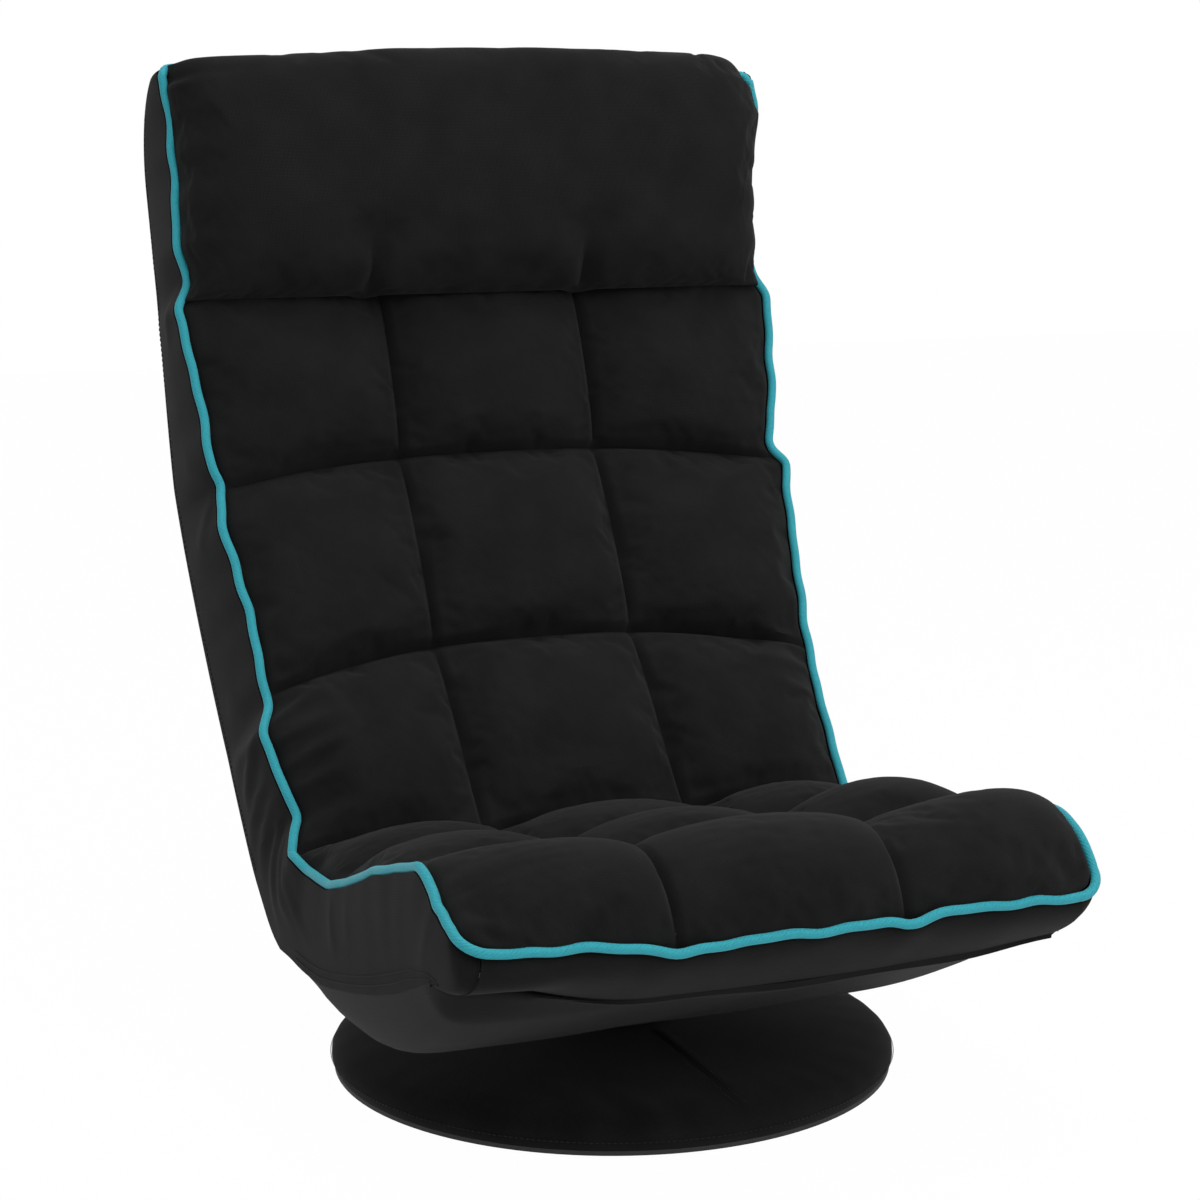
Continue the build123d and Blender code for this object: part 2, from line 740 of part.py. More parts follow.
# Piping along the sides of the seat, round the nose and across the front
piping_inset = cloth_gap + piping_radius
nose_exit = nose_yz(nose_turn - seat_cord_corner, nose_radius)
nose_past = nose_yz(nose_turn - seat_cord_corner + 1, nose_radius)
with BuildPart() as seat_piping:
    with BuildLine() as seat_cord:
        cord_ends = []
        for side in (-1, 1):
            def seat_cord_point(point):
                return at(side * (seat_half(point[0]) - piping_inset), point)

            ThreePointArc(
                seat_cord_point(seat_yz(seat_start)), seat_cord_point(seat_yz(seat_nose / 2)),
                seat_cord_point(seat_yz(seat_nose)),
            )
            ThreePointArc(
                seat_cord_point(seat_yz(seat_nose)), seat_cord_point(nose_yz((nose_turn - seat_cord_corner) / 2, nose_radius)),
                seat_cord_point(nose_exit),
            )
            leave = seat_cord_point(nose_exit)
            past = seat_cord_point(nose_past)
            heading = [past[i] - leave[i] for i in range(3)]
            over = corner_path(leave, heading, seat_cord_corner)
            TangentArc(leave, over, tangent=heading)
            cord_ends.append(over)
        Line(*cord_ends)
    seat_cord_wire = seat_cord.wires()[0]
    sweep(sections=ring_section(seat_cord_wire, piping_radius, 0), path=seat_cord_wire)
seat_piping.part.label = "seat_piping"
export_step(seat_piping.part, "parts/seat_piping.step")

# Ratchet hinges: seat plate, ratchet plate, cheek, pawl, spring, rivet and pin in layers across the chair
pawl_pivot = (hinge_y - pawl_pivot_forward, hinge_z - pawl_pivot_down)
plate_root = seat_yz(seat_rail_start + leaf_width, rail_out)
plate_tip = seat_yz(seat_rail_start + leaf_reach, rail_out)
hinge_eye = ratchet_tip + 1
pawl_eye = 1.75 * pin_radius
pawl_tip = 0.8 * pin_radius
with BuildPart() as hinge_plate_right:
    with BuildSketch(Plane.YZ.offset(plate_x)):
        with Locations(hinge):
            Circle(hinge_eye)
        with Locations(pawl_pivot):
            Circle(pawl_eye + 3)
        with Locations(plate_root):
            Circle(leaf_width)
        make_hull()
        with BuildSketch(mode=Mode.PRIVATE) as plate_leg:
            with Locations(plate_root, plate_tip):
                Circle(leaf_width)
            make_hull()
        add(plate_leg.sketch)
        with Locations(hinge):
            Circle(rivet_radius, mode=Mode.SUBTRACT)
        with Locations(pawl_pivot):
            Circle(pin_radius, mode=Mode.SUBTRACT)
    extrude(amount=plate_thickness)
hinge_plate_right.part.label = "hinge_plate_right"
export_step(hinge_plate_right.part, "parts/hinge_plate_right.step")

with BuildPart() as hinge_cheek_right:
    with BuildSketch(Plane.YZ.offset(cheek_x)):
        with Locations(hinge):
            Circle(hinge_eye)
        with Locations(pawl_pivot):
            Circle(pawl_eye + 3)
        make_hull()
        with Locations(hinge):
            Circle(rivet_radius, mode=Mode.SUBTRACT)
        with Locations(pawl_pivot):
            Circle(pin_radius, mode=Mode.SUBTRACT)
    extrude(amount=cheek_thickness)
hinge_cheek_right.part.label = "hinge_cheek_right"
export_step(hinge_cheek_right.part, "parts/hinge_cheek_right.step")

arm_foot = back_yz(back_rail_start + leaf_width, rail_out)
arm_end = back_yz(back_rail_start + leaf_reach, rail_out)
with BuildPart() as ratchet_plate_right:
    with BuildSketch(Plane.YZ.offset(ratchet_x)):
        with Locations(hinge):
            Circle(1.6 * rivet_radius)
        with Locations(arm_foot):
            Circle(leaf_width)
        make_hull()
        with BuildSketch(mode=Mode.PRIVATE) as ratchet_leg:
            with Locations(arm_foot, arm_end):
                Circle(leaf_width)
            make_hull()
        add(ratchet_leg.sketch)
        with Locations(hinge):
            Circle(ratchet_tip)
            with PolarLocations(
                ratchet_tip - notch_depth / 2 + 1, click_count,
                start_angle=pawl_at - click_step, angular_range=click_step * (click_count - 1), endpoint=True,
            ):
                Trapezoid(notch_mouth + 1.2, notch_depth + 2, notch_flank, rotation=90, mode=Mode.SUBTRACT)
            Circle(rivet_radius + running_gap, mode=Mode.SUBTRACT)
    extrude(amount=ratchet_thickness)
ratchet_plate_right.part.label = "ratchet_plate_right"
export_step(ratchet_plate_right.part, "parts/ratchet_plate_right.step")


def on_hinge(radius, angle):
    """A point of the side view at a radius and an angle round the hinge."""
    return (hinge_y + radius * cos(radians(angle)), hinge_z + radius * sin(radians(angle)))


nose_height = pawl_nose + pin_radius / 2
nose_middle = ratchet_tip + pawl_lift + nose_height / 2
nose_root = ratchet_tip + pawl_lift + nose_height
with BuildPart() as pawl_right:
    with BuildSketch(Plane.YZ.offset(ratchet_x + (ratchet_thickness - pawl_thickness) / 2)):
        with Locations(pawl_pivot):
            Circle(pawl_eye)
        with Locations(on_hinge(nose_root, pawl_at)):
            Circle(pawl_tip)
        make_hull()
        with Locations(Location(on_hinge(nose_middle, pawl_at), pawl_at)):
            Trapezoid(pawl_root, nose_height, pawl_flank, rotation=90)
        with Locations(pawl_pivot):
            Circle(pin_radius + running_gap, mode=Mode.SUBTRACT)
    extrude(amount=pawl_thickness)
pawl_right.part.label = "pawl_right"
export_step(pawl_right.part, "parts/pawl_right.step")

spring_root = pawl_pivot[0] - 3 * pawl_eye
spring_foot = spring_root + pawl_eye
spring_tip, nose_z = on_hinge(nose_root, pawl_at)
spring_fall = (pawl_pivot[1] - pawl_eye - nose_z + pawl_tip) / (spring_tip - pawl_pivot[0])
spring_leaf = 0.8


def spring_top(y):
    """Height of the leaf spring, which lies just under the pawl."""
    return pawl_pivot[1] - pawl_eye - seam_gap - spring_fall * (y - pawl_pivot[0])


spring_z = spring_top(spring_foot)
with BuildPart() as spring_right:
    with BuildSketch(Plane.YZ.offset(ratchet_x)):
        with BuildLine():
            Polyline(
                (spring_root, spring_top(spring_root)), (spring_tip, spring_top(spring_tip)),
                (spring_tip, spring_top(spring_tip) - spring_leaf), (spring_foot, spring_z - spring_leaf),
                (spring_foot, spring_z - pin_radius), (spring_root, spring_z - pin_radius), close=True,
            )
        make_face()
    extrude(amount=pawl_thickness)
    with BuildSketch(Plane.YZ.offset(plate_x + plate_thickness)):
        with Locations((spring_root + pawl_eye / 2, spring_z - pin_radius / 2)):
            Rectangle(pawl_eye, pin_radius)
    extrude(amount=leaf_gap)
with BuildPart() as pawl_springs:
    add(spring_right.part)
    mirror(spring_right.part, about=Plane.YZ)
pawl_springs.part.label = "pawl_springs"
export_step(pawl_springs.part, "parts/pawl_springs.step")

with BuildPart() as rivet_right:
    with BuildSketch(Plane.YZ.offset(plate_x - rivet_head_height)):
        with Locations(hinge):
            Circle(rivet_head)
    extrude(amount=rivet_head_height)
    with BuildSketch(Plane.YZ.offset(plate_x)):
        with Locations(hinge):
            Circle(rivet_radius)
    extrude(amount=cheek_end - plate_x)
    with BuildSketch(Plane.YZ.offset(cheek_end)):
        with Locations(hinge):
            Circle(rivet_head)
    extrude(amount=rivet_head_height)
    fillet(rivet_right.faces().sort_by(Axis.X)[-1].edges(), radius=rivet_head_height / 2)
with BuildPart() as hinge_rivets:
    add(rivet_right.part)
    mirror(rivet_right.part, about=Plane.YZ)
hinge_rivets.part.label = "hinge_rivets"
export_step(hinge_rivets.part, "parts/hinge_rivets.step")

with BuildPart() as pin_right:
    with BuildSketch(Plane.YZ.offset(plate_x)):
        with Locations(pawl_pivot):
            Circle(pin_radius)
    extrude(amount=cheek_end - plate_x)
    with BuildSketch(Plane.YZ.offset(cheek_end)):
        with Locations(pawl_pivot):
            Circle(1.6 * pin_radius)
    extrude(amount=rivet_head_height * 0.75)
with BuildPart() as pawl_pins:
    add(pin_right.part)
    mirror(pin_right.part, about=Plane.YZ)
pawl_pins.part.label = "pawl_pins"
export_step(pawl_pins.part, "parts/pawl_pins.step")

with BuildPart() as hinge_plate_left:
    mirror(hinge_plate_right.part, about=Plane.YZ)
hinge_plate_left.part.label = "hinge_plate_left"
export_step(hinge_plate_left.part, "parts/hinge_plate_left.step")

with BuildPart() as hinge_cheek_left:
    mirror(hinge_cheek_right.part, about=Plane.YZ)
hinge_cheek_left.part.label = "hinge_cheek_left"
export_step(hinge_cheek_left.part, "parts/hinge_cheek_left.step")

with BuildPart() as ratchet_plate_left:
    mirror(ratchet_plate_right.part, about=Plane.YZ)
ratchet_plate_left.part.label = "ratchet_plate_left"
export_step(ratchet_plate_left.part, "parts/ratchet_plate_left.step")

with BuildPart() as pawl_left:
    mirror(pawl_right.part, about=Plane.YZ)
pawl_left.part.label = "pawl_left"
export_step(pawl_left.part, "parts/pawl_left.step")

# Back frame: a bent tube with its open end at the hinges, and a lower bar
back_rail_end = back_frame_top - frame_corner
top_lean = radians(back_lean) + back_rail_end / back_radius
rail_up = (0, cos(top_lean), sin(top_lean))
back_middle = (back_rail_start + back_rail_end) / 2
with BuildPart() as back_frame:
    with BuildLine() as back_tube:
        ends = []
        for side in (-1, 1):
            x = side * back_rail_x
            ThreePointArc(
                at(x, back_yz(back_rail_start, rail_out)),
                at(x, back_yz(back_middle, rail_out)),
                at(x, back_yz(back_rail_end, rail_out)),
            )
            turn_start = at(x, back_yz(back_rail_end, rail_out))
            turn_end = corner_path(turn_start, rail_up, frame_corner)
            TangentArc(turn_start, turn_end, tangent=rail_up)
            ends.append(turn_end)
        Line(*ends)
    back_tube_wire = back_tube.wires()[0]
    sweep(sections=ring_section(back_tube_wire, tube_radius, tube_wall), path=back_tube_wire)
back_frame.part.label = "back_frame"
export_step(back_frame.part, "parts/back_frame.step")

back_bar_y, back_bar_z = back_yz(back_bar_at, rail_out)
with BuildPart() as back_lower_bar:
    with BuildSketch(Plane.YZ):
        with Locations((back_bar_y, back_bar_z)):
            Circle(bar_radius)
            Circle(bar_radius - tube_wall, mode=Mode.SUBTRACT)
    extrude(amount=back_rail_x - tube_radius - seam_gap, both=True)
back_lower_bar.part.label = "back_lower_bar"
export_step(back_lower_bar.part, "parts/back_lower_bar.step")

with BuildPart() as back_straps:
    for number in range(back_straps_count):
        strap_at = back_row_three + strap_width + number * strap_step
        extrude(
            layer(back_yz, strap_at - strap_width / 2, strap_at + strap_width / 2, strap_low, strap_high),
            amount=back_rail_x + tube_radius, both=True,
        )
back_straps.part.label = "back_straps"
export_step(back_straps.part, "parts/back_straps.step")

# Foam, tufted pad and head roll of the back
back_pocket_end = back_rail_start + leaf_reach + 2 * leaf_width
back_pocket_half = back_rail_x - tube_radius - seam_gap
with BuildPart() as back_foam:
    extrude(layer(back_yz, back_start, shoulder_start, foam_low, foam_high), amount=wide / 2, both=True)
    for side in (-1, 1):
        split(bisect_by=back_side(side, cover_inset + seam_gap), keep=Keep.BOTTOM)
    back_pockets = extrude(
        layer(back_yz, 0, back_pocket_end, foam_low - seam_gap, foam_high + seam_gap),
        amount=wide / 2, both=True, mode=Mode.PRIVATE,
    )
    back_strip = extrude(
        layer(back_yz, 0, back_pocket_end, foam_low - seam_gap, foam_high + seam_gap),
        amount=back_pocket_half, both=True, mode=Mode.PRIVATE,
    )
    add(back_pockets - back_strip, mode=Mode.SUBTRACT)
back_foam.part.label = "back_foam"
export_step(back_foam.part, "parts/back_foam.step")

with BuildPart() as back_pad:
    loft(sections=[back_section(*level) for level in row_levels(back_start, back_row_three)])
    loft(sections=[back_section(*level) for level in row_levels(back_row_three, back_row_two)])
    loft(sections=[back_section(*level) for level in row_levels(back_row_two, back_row_one)])
back_pad.part.label = "back_pad"
export_step(back_pad.part, "parts/back_pad.step")

head_bottom = back_row_one + seam_gap
head_middle = (head_bottom + back_top) / 2
head_reach = (back_top - head_bottom) / 2
head_lean = radians(back_lean) + head_middle / back_radius
head_taper = sin(head_lean) * (back_top_half - back_low_half) / back_rise
head_end = back_half(back_yz(head_middle)[1]) - piping_inset - piping_radius - 4 * seam_gap


def head_local(along, out):
    """A point of the back in the straight frame of the head roll: up it and out of it."""
    turn = (along - head_middle) / back_radius
    return ((back_radius - out) * sin(turn), back_radius - (back_radius - out) * cos(turn))


def head_section(x, crown, drop):
    """Section of the head roll: flat behind, with a swell in front that hangs over the row below."""
    y, z = back_yz(head_middle)
    tilt = head_taper * x / head_end
    up = (tilt, cos(head_lean), sin(head_lean))
    plane = Plane(origin=(x, y, z), x_dir=up, z_dir=(1, -tilt * cos(head_lean), -tilt * sin(head_lean)))
    swell = crown / head_crown
    foot = head_local(head_bottom, shelf)
    heel = head_local(head_bottom, pad_floor)
    top = head_reach - 2 * piping_radius - seam_gap - drop
    nape = head_local(head_middle + top - 2 * head_overhang, pad_floor)
    crest = head_local(head_middle + top, -shelf)
    brow = (top + swell * 3 * head_overhang, crest[1] + 0.42 * crown)
    temple = (top - 4, crest[1] + 0.72 * crown)
    cheek = (foot[0] + 8, 0.76 * crown + 2)
    chin = (foot[0] - swell * head_overhang, 0.3 * crown)
    with BuildSketch(plane) as section:
        with BuildLine():
            Polyline(foot, heel, nape, crest)
            ThreePointArc(crest, brow, temple)
            ThreePointArc(temple, (0, crown + 6), cheek)
            ThreePointArc(cheek, chin, foot)
        make_face()
    return section.sketch


with BuildPart() as head_roll:
    loft(
        sections=[
            head_section(-head_end, 0.1 * head_crown, head_corner),
            head_section(-0.84 * head_end, 0.74 * head_crown, 0.35 * head_corner),
            head_section(-0.55 * head_end, 0.97 * head_crown, 0.05 * head_corner),
            head_section(0, head_crown, 0.05 * head_corner),
            head_section(0.55 * head_end, 0.97 * head_crown, 0.05 * head_corner),
            head_section(0.84 * head_end, 0.74 * head_crown, 0.35 * head_corner),
            head_section(head_end, 0.1 * head_crown, head_corner),
        ]
    )
head_roll.part.label = "head_roll"
export_step(head_roll.part, "parts/head_roll.step")

# Sewn cover of the back: side gussets, and a rear panel that leans in to the top seam
shoulder_mid = (0.35 * shoulder_start + 0.65 * back_top, -0.72 * back_depth)
with BuildPart() as back_gusset_right:
    with BuildSketch(Plane.YZ):
        with BuildLine():
            ThreePointArc(back_yz(back_start, shelf), back_yz(back_row_two, shelf), back_yz(back_top, shelf))
            ThreePointArc(
                back_yz(back_top, shelf), back_yz(*shoulder_mid), back_yz(shoulder_start, -back_depth),
            )
            ThreePointArc(
                back_yz(shoulder_start, -back_depth), back_yz(back_row_two, -back_mid_depth),
                back_yz(back_rail_start, -back_rail_depth),
            )
            Line(back_yz(back_rail_start, -back_rail_depth), back_yz(back_start, -back_low_depth))
            Line(back_yz(back_start, -back_low_depth), back_yz(back_start, shelf))
        make_face()
    extrude(amount=wide / 2)
    split(bisect_by=back_side(1, cloth_gap), keep=Keep.BOTTOM)
    split(bisect_by=back_side(1, cloth_gap + cloth), keep=Keep.TOP)
back_gusset_right.part.label = "back_gusset_right"
export_step(back_gusset_right.part, "parts/back_gusset_right.step")

with BuildPart() as back_gusset_left:
    mirror(back_gusset_right.part, about=Plane.YZ)
back_gusset_left.part.label = "back_gusset_left"
export_step(back_gusset_left.part, "parts/back_gusset_left.step")

with BuildPart() as back_rear_panel:
    with BuildSketch(Plane.YZ):
        with BuildLine():
            inner_mid = (shoulder_mid[0] - 0.7 * panel_thickness, shoulder_mid[1] + 0.7 * panel_thickness)
            ThreePointArc(
                back_yz(back_top, shelf), back_yz(*shoulder_mid), back_yz(shoulder_start, -back_depth),
            )
            ThreePointArc(
                back_yz(shoulder_start, -back_depth), back_yz(back_row_two, -back_mid_depth),
                back_yz(back_rail_start, -back_rail_depth),
            )
            Line(back_yz(back_rail_start, -back_rail_depth), back_yz(back_start, -back_low_depth))
            Line(back_yz(back_start, -back_low_depth), back_yz(back_start, panel_thickness - back_low_depth))
            Line(
                back_yz(back_start, panel_thickness - back_low_depth),
                back_yz(back_rail_start, panel_thickness - back_rail_depth),
            )
            ThreePointArc(
                back_yz(back_rail_start, panel_thickness - back_rail_depth),
                back_yz(back_row_two, panel_thickness - back_mid_depth),
                back_yz(shoulder_start, panel_thickness - back_depth),
            )
            ThreePointArc(
                back_yz(shoulder_start, panel_thickness - back_depth), back_yz(*inner_mid),
                back_yz(back_top - panel_thickness, shelf),
            )
            Line(back_yz(back_top - panel_thickness, shelf), back_yz(back_top, shelf))
        make_face()
    extrude(amount=wide / 2, both=True)
    for side in (-1, 1):
        split(bisect_by=back_side(side, cover_inset), keep=Keep.BOTTOM)
back_rear_panel.part.label = "back_rear_panel"
export_step(back_rear_panel.part, "parts/back_rear_panel.step")

# Piping up the sides of the back and across the top
cord_end = back_top - back_cord_corner - piping_radius
cord_lean = radians(back_lean) + cord_end / back_radius
cord_slope = (back_top_half - back_low_half) / back_rise
with BuildPart() as back_piping:
    with BuildLine() as back_cord:
        cord_ends = []
        for side in (-1, 1):
            def back_cord_point(along):
                point = back_yz(along)
                return at(side * (back_half(point[1]) - piping_inset), point)

            ThreePointArc(
                back_cord_point(back_start), back_cord_point((back_start + cord_end) / 2),
                back_cord_point(cord_end),
            )
            heading = (side * cord_slope * sin(cord_lean), cos(cord_lean), sin(cord_lean))
            over = corner_path(back_cord_point(cord_end), heading, back_cord_corner)
            TangentArc(back_cord_point(cord_end), over, tangent=heading)
            cord_ends.append(over)
        Line(*cord_ends)
    back_cord_wire = back_cord.wires()[0]
    sweep(sections=ring_section(back_cord_wire, piping_radius, 0), path=back_cord_wire)
back_piping.part.label = "back_piping"
export_step(back_piping.part, "parts/back_piping.step")

# Waist: the loose part of the cover that goes round the hinges between seat and back
waist_half = back_low_half - cloth_gap
crease_front = seat_yz(seat_start - seam_gap, crease_out)
crease_rear = back_yz(back_start - seam_gap, crease_out)
waist_seat = seat_yz(seat_start - seam_gap, -seat_rear_depth)
waist_back = back_yz(back_start - seam_gap, -back_low_depth)
waist_bulge = (hinge_y + waist_bulge_back, hinge_z - waist_bulge_down)


def toward_hinge(point, step):
    """A point of the side view moved towards the hinge axis."""
    gap = hypot(hinge_y - point[0], hinge_z - point[1])
    return (point[0] + step * (hinge_y - point[0]) / gap, point[1] + step * (hinge_z - point[1]) / gap)


with BuildPart() as waist_cover:
    with BuildSketch(Plane.YZ):
        with BuildLine():
            Line(crease_front, crease_rear)
            Line(crease_rear, waist_back)
            ThreePointArc(waist_back, waist_bulge, waist_seat)
            Line(waist_seat, crease_front)
        make_face()
    extrude(amount=waist_half, both=True)
    with BuildSketch(Plane.YZ):
        with BuildLine():
            Line(toward_hinge(crease_front, cloth), toward_hinge(crease_rear, cloth))
            Line(toward_hinge(crease_rear, cloth), toward_hinge(waist_back, cloth))
            ThreePointArc(
                toward_hinge(waist_back, cloth), toward_hinge(waist_bulge, cloth), toward_hinge(waist_seat, cloth),
            )
            Line(toward_hinge(waist_seat, cloth), toward_hinge(crease_front, cloth))
        make_face()
    extrude(amount=waist_half - cloth, both=True, mode=Mode.SUBTRACT)
    for near, far, start in ((crease_front, waist_seat, seat_start), (crease_rear, waist_back, back_start)):
        with BuildSketch(Plane.YZ):
            with BuildLine():
                Polyline(
                    toward_hinge(near, cloth), toward_hinge(far, cloth),
                    toward_hinge(far, -cloth), toward_hinge(near, -cloth), close=True,
                )
            make_face()
        extrude(amount=waist_half - cloth, both=True, mode=Mode.SUBTRACT)
waist_cover.part.label = "waist_cover"
export_step(waist_cover.part, "parts/waist_cover.step")
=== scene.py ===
"""Looks of a low gaming chair: a folding tufted scoop that swivels on a round cloth-covered base."""

import logging
import math
from dataclasses import dataclass
from enum import Enum

import bmesh
import bpy
import numpy as np
from bpy.types import ID, Material, Node, NodeSocket, NodeTree, Object
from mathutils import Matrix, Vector
from numpy import ndarray


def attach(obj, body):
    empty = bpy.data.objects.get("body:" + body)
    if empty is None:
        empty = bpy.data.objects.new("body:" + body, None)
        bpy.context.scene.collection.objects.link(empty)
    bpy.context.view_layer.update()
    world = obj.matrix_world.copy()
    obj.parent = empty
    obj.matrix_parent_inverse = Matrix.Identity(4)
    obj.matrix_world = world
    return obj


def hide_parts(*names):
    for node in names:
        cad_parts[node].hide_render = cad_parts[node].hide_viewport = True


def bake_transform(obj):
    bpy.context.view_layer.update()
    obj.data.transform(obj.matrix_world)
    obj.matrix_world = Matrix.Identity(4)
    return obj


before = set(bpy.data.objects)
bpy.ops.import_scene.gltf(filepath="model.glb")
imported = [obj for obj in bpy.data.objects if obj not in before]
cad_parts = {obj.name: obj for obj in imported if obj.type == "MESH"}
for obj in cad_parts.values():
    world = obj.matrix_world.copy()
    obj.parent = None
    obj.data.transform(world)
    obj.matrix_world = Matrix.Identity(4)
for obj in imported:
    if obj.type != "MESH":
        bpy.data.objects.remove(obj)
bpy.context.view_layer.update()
MM = 0.001
TINY = 1e-9
SAME_POINT = 2e-6
SMALLEST_EDGE = 1e-6
FILL_FRAMES = 20
FILL_PRESSURE = 1.6
SPARE_CLOTH = 0.014
FILL_REACH = 4.0
BAND_PLACE = -300.0
Triple = tuple[float, float, float]
Knots = tuple[tuple[float, ...], ...]
log = logging.getLogger("floor_chair")


class Side(Enum):
    """The two sides of the chair, as seen by someone who sits in it facing -Y."""

    LEFT = -1
    RIGHT = 1


class Grain(Enum):
    """How the surface of a hard finish was worked."""

    PAINTED = "painted"
    BRUSHED = "brushed"
    PRESSED_BOARD = "pressed board"
    OPEN_CELL = "open cell"


def smooth_step(low: float, high: float, value: ndarray) -> ndarray:
    """Rise from 0 at low to 1 at high with level ends.

    Args:
        low: value where the rise starts.
        high: value where it ends.
        value: values to map.

    Returns:
        The risen share of each value.
    """
    share = np.clip((np.asarray(value, float) - low) / (high - low), 0.0, 1.0)
    return share * share * (3.0 - 2.0 * share)


def bump_at(value: ndarray, centre: float, width: float) -> ndarray:
    """Bell curve of height 1 round a centre."""
    return np.exp(-(((np.asarray(value, float) - centre) / width) ** 2))


def pillow(share: ndarray, fullness: float) -> ndarray:
    """Height of a stuffed strip from 0 at its seams to 1 in its middle."""
    return np.clip(4.0 * share * (1.0 - share), 0.0, 1.0) ** fullness


def through_knots(value: ndarray, knots: Knots, taps: tuple[float, ...] = (0.0,), column: int = 1) -> ndarray:
    """Follow straight lines between knots, softened by the mean of a few taps beside each value.

    Args:
        value: where to read the knots.
        knots: rows of a place and what is known there.
        taps: steps beside each value.
        column: column of the knots to read.

    Returns:
        What the knots say at each value.
    """
    rows = np.array(knots, float)
    return sum(np.interp(value + tap, rows[:, 0], rows[:, column]) for tap in taps) / len(taps)


def with_ends(lines: ndarray) -> ndarray:
    """Points with one more at each end, straight on from the last two."""
    return np.concatenate([2 * lines[:1] - lines[1:2], lines, 2 * lines[-1:] - lines[-2:-1]])


def run_along(points: ndarray) -> ndarray:
    """Distance of each point of a line from its start."""
    return np.concatenate([[0.0], np.cumsum(np.linalg.norm(np.diff(points, axis=0), axis=1))])


def weave(across: ndarray, along: ndarray) -> ndarray:
    """Cloth coordinates of a grid, from measures across and along it."""
    return np.stack(np.broadcast_arrays(across, along), axis=2)


def refine(grid: ndarray) -> ndarray:
    """Double the rows and columns of a grid with a smooth curve through its points.

    Args:
        grid: points as rows x columns x 3.

    Returns:
        The finer grid.
    """
    for axis in (0, 1):
        lines = np.moveaxis(grid, axis, 0)
        padded = with_ends(lines)
        finer = np.empty((2 * len(lines) - 1,) + lines.shape[1:])
        finer[0::2] = lines
        finer[1::2] = (9.0 * (lines[:-1] + lines[1:]) - padded[:-3] - padded[3:]) / 16.0
        grid = np.moveaxis(finer, 0, axis)
    return grid


def finer_places(places: ndarray) -> ndarray:
    """Places of the rows of a refined grid."""
    return refine(np.repeat(places[:, None, None], 2, axis=1))[:, 0, 0]


def curve_through(points: Knots, count: int, steps: int = 24) -> ndarray:
    """Sample a smooth curve through a few points at even distances.

    Args:
        points: points that the curve passes.
        count: number of samples.
        steps: steps between two points while it is drawn.

    Returns:
        The samples as an array of count rows.
    """
    knots = np.array(points, float)
    dense = []
    for a, b, c, d in zip(*(with_ends(knots)[i:] for i in range(4))):
        for t in np.linspace(0.0, 1.0, steps, endpoint=False):
            dense.append(b + 0.5 * t * (c - a + t * (2 * a - 5 * b + 4 * c - d + t * (3 * (b - c) + d - a))))
    dense.append(knots[-1])
    return even_steps(np.array(dense), count)


def even_steps(points: ndarray, count: int) -> ndarray:
    """Points at even distances along a line of points."""
    run = run_along(points)
    places = np.linspace(0.0, run[-1], count)
    return np.stack([np.interp(places, run, line) for line in points.T], axis=1)


def put(name: str, data: ID) -> Object:
    """Add an object to the scene, at the origin."""
    thing = bpy.data.objects.new(name, data)
    bpy.context.collection.objects.link(thing)
    return thing


def dress(piece: Object, finish: Material) -> None:
    """Give a piece or a carried-over node one finish."""
    piece.data.materials.clear()
    piece.data.materials.append(finish)


def hand_over(piece: Object, body: str, node: str, finish: Material | None = None) -> None:
    """Dress a finished piece and say where it belongs.

    Args:
        piece: the piece.
        body: body that it rides on, or nothing if it lies between two.
        node: node that it stands for, or nothing if it is an extra.
        finish: its finish, or None if it has one.
    """
    if finish:
        dress(piece, finish)
    if body:
        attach(piece, body)
    if node:
        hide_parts(node)
    log.info("%s: %d faces", piece.name, len(piece.data.polygons))


def outward(grid: ndarray, towards: Triple) -> ndarray:
    """Unit normals of a grid, turned to the side that `towards` points to.

    Args:
        grid: points as rows x columns x 3.
        towards: rough direction out of the surface.

    Returns:
        Normals in the shape of the grid.
    """
    normal = np.cross(np.gradient(grid, axis=0), np.gradient(grid, axis=1))
    normal /= np.maximum(np.linalg.norm(normal, axis=2, keepdims=True), TINY)
    if float((normal * np.array(towards)).sum()) < 0.0:
        normal = -normal
    return normal


